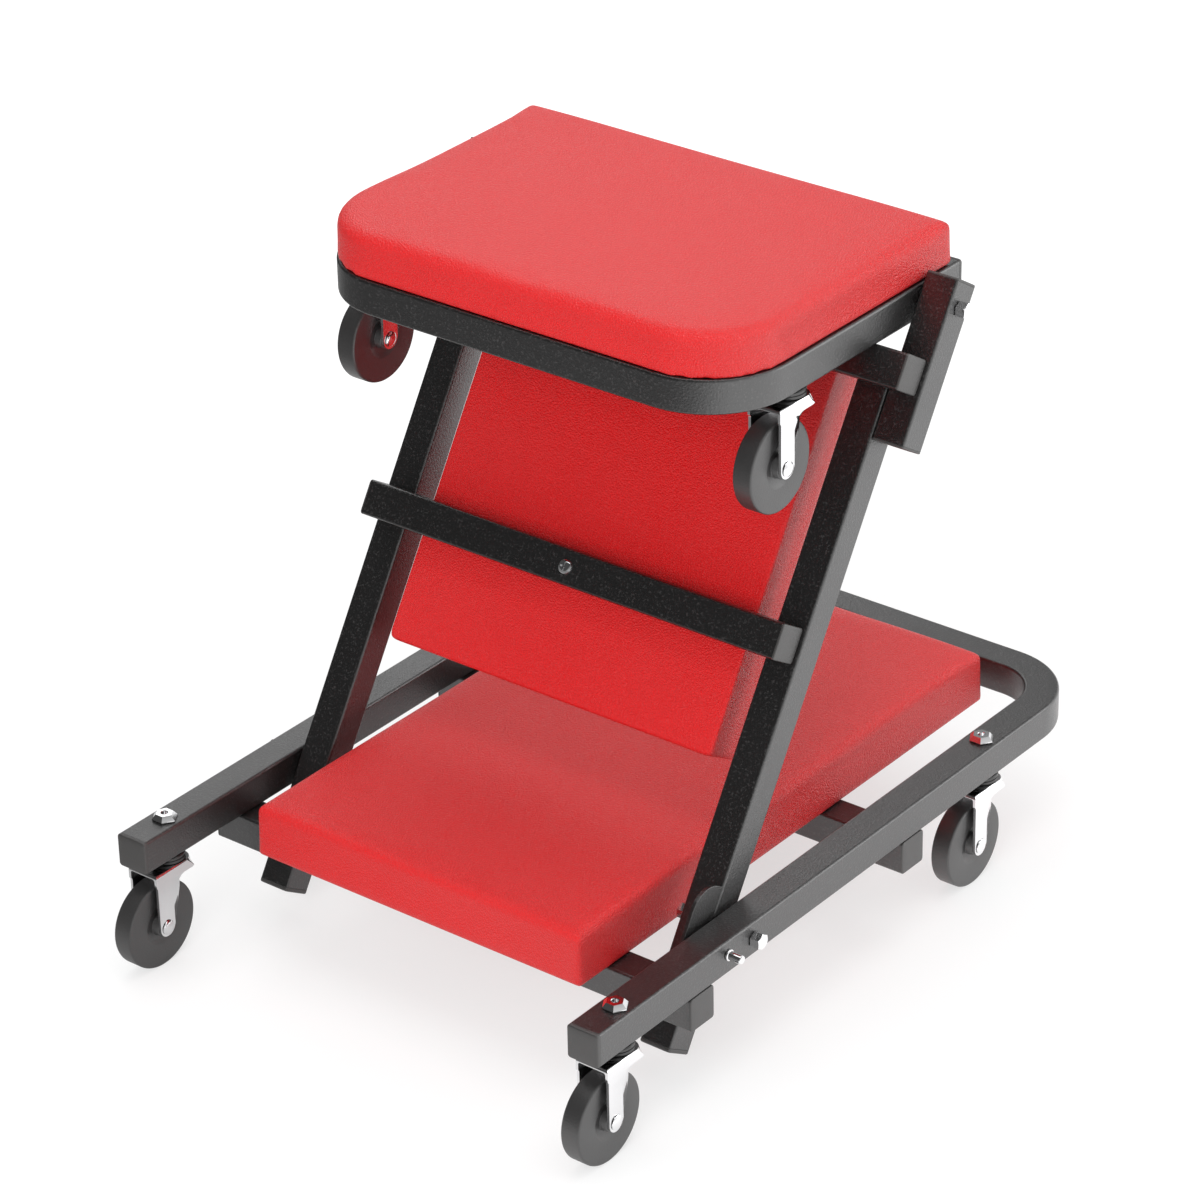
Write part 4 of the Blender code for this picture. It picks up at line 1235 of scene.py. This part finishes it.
@dataclass
class Pad(SectionPieces):
    """Upholstered pad: foam on a board, wrapped in vinyl and filled out by a cloth simulation.

    Its own frame has the board's underside at height zero.
    """

    section: Section
    half_width: float
    front: float
    back: float
    front_radius: float
    thickness: float
    edge: float
    back_edge: float
    turn: Matrix
    pockets: Sequence[Flat] = ()
    back_radius: float = SIZES.pad_corner
    pocket_radius: float = 0.0100
    pocket_depth: float = 0.0060
    crown: float = 0.0012
    draw_in: float = 0.0022
    voxel: float = 0.004
    shrink: float = 0.0005
    cap: float = 0.0014
    pressure: float = 4.0
    frames: int = 20
    evening: int = 30
    lower_edge: float = 0.0010

    @property
    def middle(self) -> float:
        """Middle of the pad's length."""
        return (self.front + self.back) / 2

    def distance(self, points: np.ndarray) -> np.ndarray:
        """Signed distance of points from the pad's surface before it is filled out.

        Args:
            points: rows of x, y and z.

        Returns:
            One distance for each point, below zero inside.
        """
        x, y, z = points.T
        radius = np.where(y < self.middle, self.front_radius, self.back_radius)
        across = np.abs(x) - self.half_width + self.shrink + radius
        along = np.abs(y - self.middle) - (self.back - self.front) / 2 + self.shrink + radius
        outline = (np.minimum(np.maximum(across, along), 0)
                   + np.hypot(np.maximum(across, 0), np.maximum(along, 0)) - radius)
        top = self.thickness - self.crown / 2 - self.shrink
        near_back = np.clip((y - self.back) / self.edge / 3 + 1, 0, 1)
        upper = self.edge + (self.back_edge - self.edge) * near_back
        edge = np.where(z > top / 2, upper, self.lower_edge)
        inward = outline + edge
        upward = np.abs(z - top / 2) - top / 2 + edge
        return (np.minimum(np.maximum(inward, upward), 0)
                + np.hypot(np.maximum(inward, 0), np.maximum(upward, 0)) - edge)

    def project(self, points: np.ndarray) -> np.ndarray:
        """Move points onto the pad's surface along its slope.

        Args:
            points: rows of x, y and z.

        Returns:
            The moved points.
        """
        step = 1e-5
        for _ in range(6):
            value = self.distance(points)
            slope = np.stack([self.distance(points + step * axis) - value for axis in np.eye(3)], 1) / step
            size = np.maximum((slope ** 2).sum(1), 0.05)
            points = points - slope * (value / size)[:, None]
        return points

    def shell(self, name: str) -> bpy.types.Object:
        """Start shape: an even skin of small quads on the slightly smaller pad.

        Args:
            name: name of the object.

        Returns:
            The object.
        """
        outline = []
        corners = ((-1, self.front, self.front_radius, 1), (1, self.front, self.front_radius, 1),
                   (1, self.back, self.back_radius, -1), (-1, self.back, self.back_radius, -1))
        for quarter, (side, y, radius, way) in enumerate(corners):
            start = math.pi + quarter * math.pi / 2
            outline += arc((side * (self.half_width - radius), y + way * radius), radius, start,
                           start + math.pi / 2, 8)
        block = prism(name, outline, 0.0, self.thickness - self.crown, STILL)
        remesh = {"mode": "VOXEL", "voxel_size": self.voxel, "use_smooth_shade": True}
        item = link_object(name, with_modifiers(block, ("REMESH", remesh)))
        write_points(item.data, self.project(read_points(item.data)))
        return item

    def fill_out(self, item: bpy.types.Object) -> np.ndarray:
        """Fill the cover under pressure, with its underside held by the board.

        Args:
            item: the start shape.

        Returns:
            The points of the filled cover, each moved by no more than the cap.
        """
        start = read_points(item.data)
        held = item.vertex_groups.new(name="held_by_board")
        held.add([int(k) for k in np.nonzero(start[:, 2] < self.voxel)[0]], 1.0, "REPLACE")
        cloth = item.modifiers.new("cover", "CLOTH")
        settings = {"quality": 4, "mass": 0.3, "tension_stiffness": 40, "compression_stiffness": 40,
                    "shear_stiffness": 20, "bending_stiffness": 8, "use_pressure": True,
                    "uniform_pressure_force": self.pressure, "vertex_group_mass": held.name}
        for key, value in settings.items():
            setattr(cloth.settings, key, value)
        cloth.settings.effector_weights.gravity = 0
        cloth.collision_settings.use_collision = False
        cloth.point_cache.frame_start = 1
        cloth.point_cache.frame_end = self.frames
        scene = bpy.context.scene
        for number in range(1, self.frames + 1):
            scene.frame_set(number)
        graph = bpy.context.evaluated_depsgraph_get()
        filled = read_points(item.evaluated_get(graph).data)
        scene.frame_set(1)
        item.modifiers.remove(cloth)
        move = evened(item.data, filled - start, self.evening)
        far = np.linalg.norm(move, axis=1)
        limit = self.cap * np.clip(start[:, 2] / self.edge, 0, 1)
        share = np.where(far > 1e-9, limit * np.tanh(far / self.cap) / np.maximum(far, 1e-9), 0)
        return start + move * share[:, None]

    def shaped(self, points: np.ndarray) -> np.ndarray:
        """Crown the top and draw the sides in between the corners.

        Args:
            points: rows of x, y and z.

        Returns:
            The moved points.
        """
        points = points.copy()
        across = np.clip(points[:, 0] / self.half_width, -1, 1)
        along = np.clip((points[:, 1] - self.middle) / ((self.back - self.front) / 2), -1, 1)
        rise = np.clip(points[:, 2] / (self.thickness - self.crown), 0, 1)
        swell_across, swell_along = 1 - across ** 2, 1 - along ** 2
        pull = self.draw_in * np.sin(np.pi * rise)
        points[:, 0] -= pull * swell_along * across ** 7
        points[:, 1] -= pull * swell_across * along ** 7
        lift = np.clip((rise - 0.6) / 0.4, 0, 1)
        points[:, 2] += self.crown * lift * swell_across * swell_along
        points[:, 2] = np.maximum(points[:, 2], 0.0)
        return points

    def pocket_shapes(self) -> bpy.types.Mesh:
        """Round pockets in the underside, which leave room for the nuts below."""
        shape = bmesh.new()
        for x, y in self.pockets:
            add_turned(shape, rod(self.pocket_radius, -0.01, self.pocket_depth),
                       Matrix.Translation((x, y, 0)), 32)
        return closed_mesh("pockets", shape)

    def build(self) -> None:
        """Make the pad and hand it to its section."""
        body = self.section.value
        name = f"{body}_cushion"
        item = self.shell(name)
        points = self.fill_out(item)
        mesh = item.data
        write_points(mesh, self.shaped(points))
        bpy.data.objects.remove(item, do_unlink=True)
        mesh = with_modifiers(mesh, ("SUBSURF", {"levels": 1, "render_levels": 1}))
        if self.pockets:
            mesh = cut(mesh, self.pocket_shapes())
        mesh.shade_smooth()
        pad = self.add(name, mesh, Slot.VINYL, [f"{body}_pad", f"{body}_board"], self.turn)


@dataclass
class BaseAssembly(SectionPieces):
    """U frame on two crossbars, with its plugs, pivot bolts, lock pin, pad and four casters."""

    section: Section = Section.BASE
    length: float = 0.5764
    bend: float = 0.060
    half_width: float = 0.208
    front_bar: float = 0.1107
    rear_bar: float = 0.3518
    pad_half_width: float = 0.1416
    pad_front: float = 0.0660
    pad_back: float = 0.5387
    pad_thickness: float = 0.040
    pad_edge: float = 0.0062
    front_casters: float = 0.0347
    rear_casters: float = 0.4533

    def build(self) -> None:
        """Make everything that the base carries."""
        self.build_tubes()
        self.build_hardware()
        self.build_lock_pin()
        Pad(self.section, self.pad_half_width, self.pad_front, self.pad_back, SIZES.pad_corner,
            self.pad_thickness, self.pad_edge, self.pad_edge,
            Matrix.Translation((0, 0, -SIZES.half))).build()
        rows = {"front": self.front_casters, "rear": self.rear_casters}
        CasterSet(self.section, rows, SIZES.base_rail_x).build()

    def build_tubes(self) -> None:
        """Make the frame, its crossbars and the plugs in their ends."""
        x, end = SIZES.base_rail_x, self.length - SIZES.half
        start = SIZES.plug_flange + SIZES.touch
        path = [(x, start, 0), (x, end, 0), (-x, end, 0), (-x, start, 0)]
        self.add_tube("base_frame_tube", "base_frame", path, self.bend - SIZES.half)
        reach, height = self.half_width - SIZES.cap_flange, -SIZES.stack
        for label, y in (("front", self.front_bar), ("rear", self.rear_bar)):
            self.add_tube(f"base_{label}_crossbar_tube", f"base_crossbar_{label}",
                          [(-reach, y, height), (reach, y, height)])
        self.add_plugs("base_rail_plugs", "base_end_plug", x, start, -1)
        self.add_caps("base_crossbar_caps",
                      [((side.value * reach, y, height), (side.value, 0, 0))
                       for side in Side for y in (self.front_bar, self.rear_bar)])

    def build_hardware(self) -> None:
        """Make the pivot bolts and the pad screws."""
        self.add_bolts("base_hinge_bolt", "base_pivot_bolt", SIZES.base_pivot, self.half_width,
                       SIZES.mid_rail_x - SIZES.half)
        screws = [((0, y, -SIZES.stack - SIZES.half), (0, 0, -1)) for y in (self.front_bar, self.rear_bar)]
        self.add_copies("base_pad_screws", cross_screw_pattern(), screws, Slot.BRIGHT)

    def build_lock_pin(self) -> None:
        """Make the sprung lock pin, which slides out of its rail."""
        collar = SIZES.half + SIZES.touch
        tip = -(SIZES.half + SIZES.hinge_gap - SIZES.touch)
        profile = [(0, collar + 0.0111), (0.0026, collar + 0.0111), (0.0031, collar + 0.0106),
                   (0.0032, collar + 0.0098), (0.0032, collar + 0.0016), (0.0040, collar + 0.0012),
                   (0.0041, collar + 0.0009), (0.0041, collar + 0.0003), (0.0039, collar), (0.0033, collar),
                   (0.0033, tip + 0.0008), (0.0028, tip), (0, tip)]
        turn = Matrix.Rotation(LOCK_SIDE.value * math.pi / 2, 4, "Y")
        mesh = shaded(turned_mesh("pin", profile, turn, 40), 40)
        at = (LOCK_SIDE.value * SIZES.base_rail_x, SIZES.base_pivot - SIZES.lock_forward, SIZES.lock_rise)
        add_piece(f"sprung_pin_{LOCK_SIDE.label}", mesh, Slot.BRIGHT, f"lock_{LOCK_SIDE.label}",
                  [f"lock_pin_{LOCK_SIDE.label}"], self.section.place @ Matrix.Translation(at))


@dataclass
class MidAssembly(SectionPieces):
    """Leaning rails with crossbars in front, brackets for the seat, a lock plate, bolts and pad."""

    section: Section = Section.MID
    tail: float = 0.09044
    rail_end: float = 0.386015
    crossbar_at: float = 0.1912
    crossbar_half: float = 0.178
    upper_bar_at: float = 0.383289
    upper_bar_half: float = 0.2033
    bracket_low: float = 0.336
    bracket_high: float = 0.453
    pad_half_width: float = 0.1404
    pad_start: float = 0.1018
    pad_end: float = 0.39575
    pad_thickness: float = 0.040
    pad_edge: float = 0.009
    plate_corner: float = 0.0145
    plate_shoulder: float = 0.020
    plate_top: float = 0.0257
    plate_sheet: float = 0.003
    pin_hole: float = 0.0037

    def build(self) -> None:
        """Make everything that the mid section carries."""
        self.build_tubes()
        self.build_hardware()
        self.build_lock_plate()
        over = Matrix.Translation((0, 0, SIZES.half)) @ Matrix.Rotation(math.pi, 4, "X")
        Pad(self.section, self.pad_half_width, -self.pad_end, -self.pad_start, SIZES.pad_corner,
            self.pad_thickness, self.pad_edge, self.pad_edge, over).build()

    def build_tubes(self) -> None:
        """Make the rails, brackets and crossbars, and the plugs in their ends."""
        low = SIZES.plug_flange + SIZES.touch - self.tail
        high = self.rail_end - SIZES.cap_flange
        foot, head = self.bracket_low + SIZES.cap_flange, self.bracket_high - SIZES.cap_flange
        caps = []
        for side in Side:
            x, outer = side.value * SIZES.mid_rail_x, side.value * SIZES.bracket_x
            self.add_tube(f"mid_rail_tube_{side.label}", f"mid_rail_{side.label}",
                          [(x, low, 0), (x, high, 0)])
            self.add_tube(f"seat_bracket_tube_{side.label}", f"seat_bracket_{side.label}",
                          [(outer, foot, 0), (outer, head, 0)])
            caps += [((x, high, 0), (0, 1, 0)), ((outer, foot, 0), (0, -1, 0)), ((outer, head, 0), (0, 1, 0))]
        bars = (("mid_crossbar", self.crossbar_at, self.crossbar_half),
                ("mid_upper_crossbar", self.upper_bar_at, self.upper_bar_half))
        for node, y, half in bars:
            reach = half - SIZES.cap_flange
            self.add_tube(f"{node}_tube", node, [(-reach, y, SIZES.stack), (reach, y, SIZES.stack)])
            caps += [((side.value * reach, y, SIZES.stack), (side.value, 0, 0)) for side in Side]
        self.add_plugs("mid_tail_plugs", "tail_plug", SIZES.mid_rail_x, low, -1)
        self.add_caps("mid_tube_caps", caps)

    def build_hardware(self) -> None:
        """Make the seat's pivot bolts and the pad screw in the middle crossbar."""
        self.add_bolts("seat_hinge_bolt", "seat_pivot_bolt", SIZES.pivot_span, SIZES.bracket_x + SIZES.half,
                       SIZES.seat_rail_x - SIZES.half)
        screw = [((0, self.crossbar_at, SIZES.stack + SIZES.half), (0, 0, 1))]
        self.add_copies("mid_pad_screw", cross_screw_pattern(), screw, Slot.BRIGHT)

    def build_lock_plate(self) -> None:
        """Make the steel plate on the rail's front face that the lock pin enters."""
        pin = Matrix.Rotation(-SIZES.lean, 3, "X") @ Vector((0, -SIZES.lock_forward, SIZES.lock_rise))
        front, corner = pin.z + self.plate_corner, self.plate_shoulder
        outline = arc((self.plate_top - corner, front - corner), corner, 0.0, math.pi / 2, 18)
        outline += arc((pin.y, pin.z), self.plate_corner, math.pi / 2, math.pi, 14)
        foot = SIZES.half + SIZES.touch
        outline += [(pin.y - self.plate_corner, foot), (self.plate_top, foot)]
        half = self.plate_sheet / 2
        plate = prism("plate", outline, -half, half, FACE_X)
        hole = turned_mesh("hole", rod(self.pin_hole, 0.01, -0.01), Matrix.Translation(pin) @ TURN_X, 40)
        x = LOCK_SIDE.value * (SIZES.mid_rail_x + SIZES.half - half)
        self.add(f"lock_plate_steel_{LOCK_SIDE.label}", softened(cut(plate, hole), 0.0004), Slot.COAT,
                 [f"lock_plate_{LOCK_SIDE.label}"], Matrix.Translation((x, 0, 0)))


@dataclass
class SeatAssembly(SectionPieces):
    """U frame under the seat pad, with its plugs and two casters."""

    section: Section = Section.SEAT
    reach: float = 0.21455
    tail: float = 0.04415
    bend: float = 0.062
    pad_half_width: float = 0.1793
    pad_back: float = 0.03475
    pad_thickness: float = 0.0322
    pad_edge: float = 0.0095
    pad_back_edge: float = 0.005
    casters_at: float = -0.13655

    def build(self) -> None:
        """Make everything that the seat carries."""
        x, end = SIZES.seat_rail_x, SIZES.half - self.reach
        start = self.tail - SIZES.plug_flange - SIZES.touch
        path = [(x, start, 0), (x, end, 0), (-x, end, 0), (-x, start, 0)]
        self.add_tube("seat_frame_tube", "seat_frame", path, self.bend - SIZES.half)
        self.add_plugs("seat_rail_plugs", "seat_end_plug", x, start, 1)
        pockets = [(side.value * x, self.casters_at) for side in Side]
        Pad(self.section, self.pad_half_width, -self.reach, self.pad_back, self.bend,
            self.pad_thickness, self.pad_edge, self.pad_back_edge,
            Matrix.Translation((0, 0, SIZES.half + SIZES.touch)), pockets).build()
        CasterSet(self.section, {"seat": self.casters_at}, x).build()


@dataclass(frozen=True)
class Softbox:
    """A large soft studio lamp, aimed at a point."""

    name: str
    at: Point
    aim: Point
    size: Flat
    power: float
    mirrored: bool = True

    def build(self) -> None:
        """Put the lamp in the scene."""
        lamp = bpy.data.lights.new(self.name, "AREA")
        lamp.shape = "RECTANGLE"
        lamp.size, lamp.size_y = self.size
        lamp.energy = self.power
        item = bpy.data.objects.new(self.name, lamp)
        item.location = self.at
        item.rotation_euler = (Vector(self.aim) - Vector(self.at)).to_track_quat("-Z", "Y").to_euler()
        item.visible_glossy = self.mirrored
        bpy.context.scene.collection.objects.link(item)


@dataclass(frozen=True)
class Studio:
    """White floor and backdrop, soft lamps, and the camera at the photograph's angle."""

    lamps: tuple[Softbox, ...] = (
        Softbox("overhead", (0.0, 0.1, 2.6), (0.0, 0.0, 0.2), (2.2, 2.2), 24.0),
        Softbox("right_back", (1.7, 1.5, 0.8), (0.0, 0.0, 0.25), (1.4, 1.2), 11.0),
        Softbox("left_back", (-1.9, 1.6, 1.6), (0.0, 0.0, 0.35), (1.8, 1.2), 10.0),
        Softbox("front_fill", (0.9, -2.7, 1.5), (0.0, 0.0, 0.3), (1.6, 1.6), 52.0, False),
    )
    world_level: float = 0.65
    bright_side: Point = (0.60, 0.40, -0.69)
    fade: Flat = (-0.5, 0.3)
    dim_side: float = 0.06
    floor_colour: float = 0.72
    floor_shown: float = 0.38
    floor_lift: float = 0.62
    floor_clear: Flat = (0.6, 1.8)
    floor_bright_side: Point = (0.62, 0.78, 0.0)
    floor_fade: Flat = (-0.7, 0.1)
    floor_dim: float = 0.15
    floor_shine: float = 0.45
    floor_size: float = 14.0
    focal: float = 136.231
    sensor: float = 36.0
    camera_at: Point = (1.703741, -2.142141, 1.717272)
    right: Point = (0.7877156, 0.6157554, -0.0186942)
    down: Point = (0.2808941, -0.3860154, -0.8786869)
    view: Point = (-0.5482724, 0.6869043, -0.4770324)

    def build(self) -> None:
        """Set up the stage."""
        for lamp in self.lamps:
            lamp.build()
        self.build_world()
        self.build_floor()
        self.build_camera()
        bpy.context.scene.view_settings.view_transform = "Standard"

    def build_world(self) -> None:
        """White backdrop, dimmer on the camera's side in reflections, and a soft even light elsewhere."""
        world = bpy.data.worlds.new("studio_backdrop")
        bpy.context.scene.world = world
        world.use_nodes = True
        world.node_tree.nodes.clear()
        sketch = NodeSketch(world.node_tree)
        path = sketch.add("ShaderNodeLightPath").outputs
        way = sketch.add("ShaderNodeTexCoord").outputs["Generated"]
        turned = sketch.vector("DOT_PRODUCT", {0: way, 1: self.bright_side}, "Value")
        mirrored = sketch.spread(turned, *self.fade, self.dim_side, 1.0)
        level = sketch.math("MAXIMUM", sketch.times(path["Is Glossy Ray"], mirrored),
                            sketch.math("MAXIMUM", path["Is Camera Ray"], path["Is Transmission Ray"]))
        level = sketch.math("ADD", level, sketch.times(path["Is Diffuse Ray"], self.world_level))
        light = sketch.add("ShaderNodeBackground", {"Color": (1, 1, 1, 1), "Strength": level})
        sketch.add("ShaderNodeOutputWorld", {"Surface": light.outputs[0]})

    def build_floor(self) -> None:
        """Plain pale floor that keeps the creeper's shadow, dimmer at the front left in reflections."""
        shape = bmesh.new()
        bmesh.ops.create_grid(shape, x_segments=1, y_segments=1, size=self.floor_size / 2)
        mesh = plain_mesh("studio_floor", shape)
        material = bpy.data.materials.new("pale_floor")
        material.use_nodes = True
        material.node_tree.nodes.clear()
        sketch = NodeSketch(material.node_tree)
        path = sketch.add("ShaderNodeLightPath").outputs
        shown = sketch.math("MAXIMUM", path["Is Camera Ray"], path["Is Transmission Ray"])
        where = sketch.add("ShaderNodeTexCoord").outputs["Object"]
        across = sketch.vector("DOT_PRODUCT", {0: where, 1: self.floor_bright_side}, "Value")
        mirrored = sketch.spread(across, *self.floor_fade, self.floor_dim, 1.0)
        loss = sketch.times(path["Is Glossy Ray"], sketch.math("SUBTRACT", 1.0, mirrored))
        tone = sketch.spread(shown, 0.0, 1.0, self.floor_colour, self.floor_shown)
        tone = sketch.times(tone, sketch.math("SUBTRACT", 1.0, loss))
        matt = sketch.add("ShaderNodeBsdfDiffuse", {"Color": tone})
        away = sketch.vector("LENGTH", {0: where}, "Value")
        lift = sketch.times(shown, sketch.spread(away, *self.floor_clear, self.floor_lift, 1.0))
        shine = sketch.times(path["Is Glossy Ray"], sketch.times(mirrored, self.floor_shine))
        glow = sketch.add("ShaderNodeEmission", {"Color": (1, 1, 1, 1),
                                                 "Strength": sketch.math("ADD", lift, shine)})
        both = sketch.add("ShaderNodeAddShader", {0: matt.outputs[0], 1: glow.outputs[0]})
        sketch.add("ShaderNodeOutputMaterial", {"Surface": both.outputs[0]})
        mesh.materials.append(material)
        link_object("studio_floor", mesh)

    def build_camera(self) -> None:
        """Camera at the photograph's place and angle, for a square picture."""
        camera = bpy.data.cameras.new("camera")
        camera.lens = self.focal
        camera.sensor_width = self.sensor
        item = bpy.data.objects.new("camera", camera)
        axes = (Vector(self.right), -Vector(self.down), -Vector(self.view))
        turn = Matrix([[axis[row] for axis in axes] for row in range(3)])
        item.matrix_world = Matrix.Translation(self.camera_at) @ turn.to_4x4()
        bpy.context.scene.collection.objects.link(item)
        bpy.context.scene.camera = item


def main() -> None:
    """Build the creeper's sub-assemblies and the studio."""
    logging.basicConfig(level=logging.INFO, format="%(name)s: %(message)s")
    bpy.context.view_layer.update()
    for assembly in (BaseAssembly(), MidAssembly(), SeatAssembly()):
        LOG.info("building %s", type(assembly).__name__)
        assembly.build()
    Studio().build()


if __name__ == "__main__":
    main()
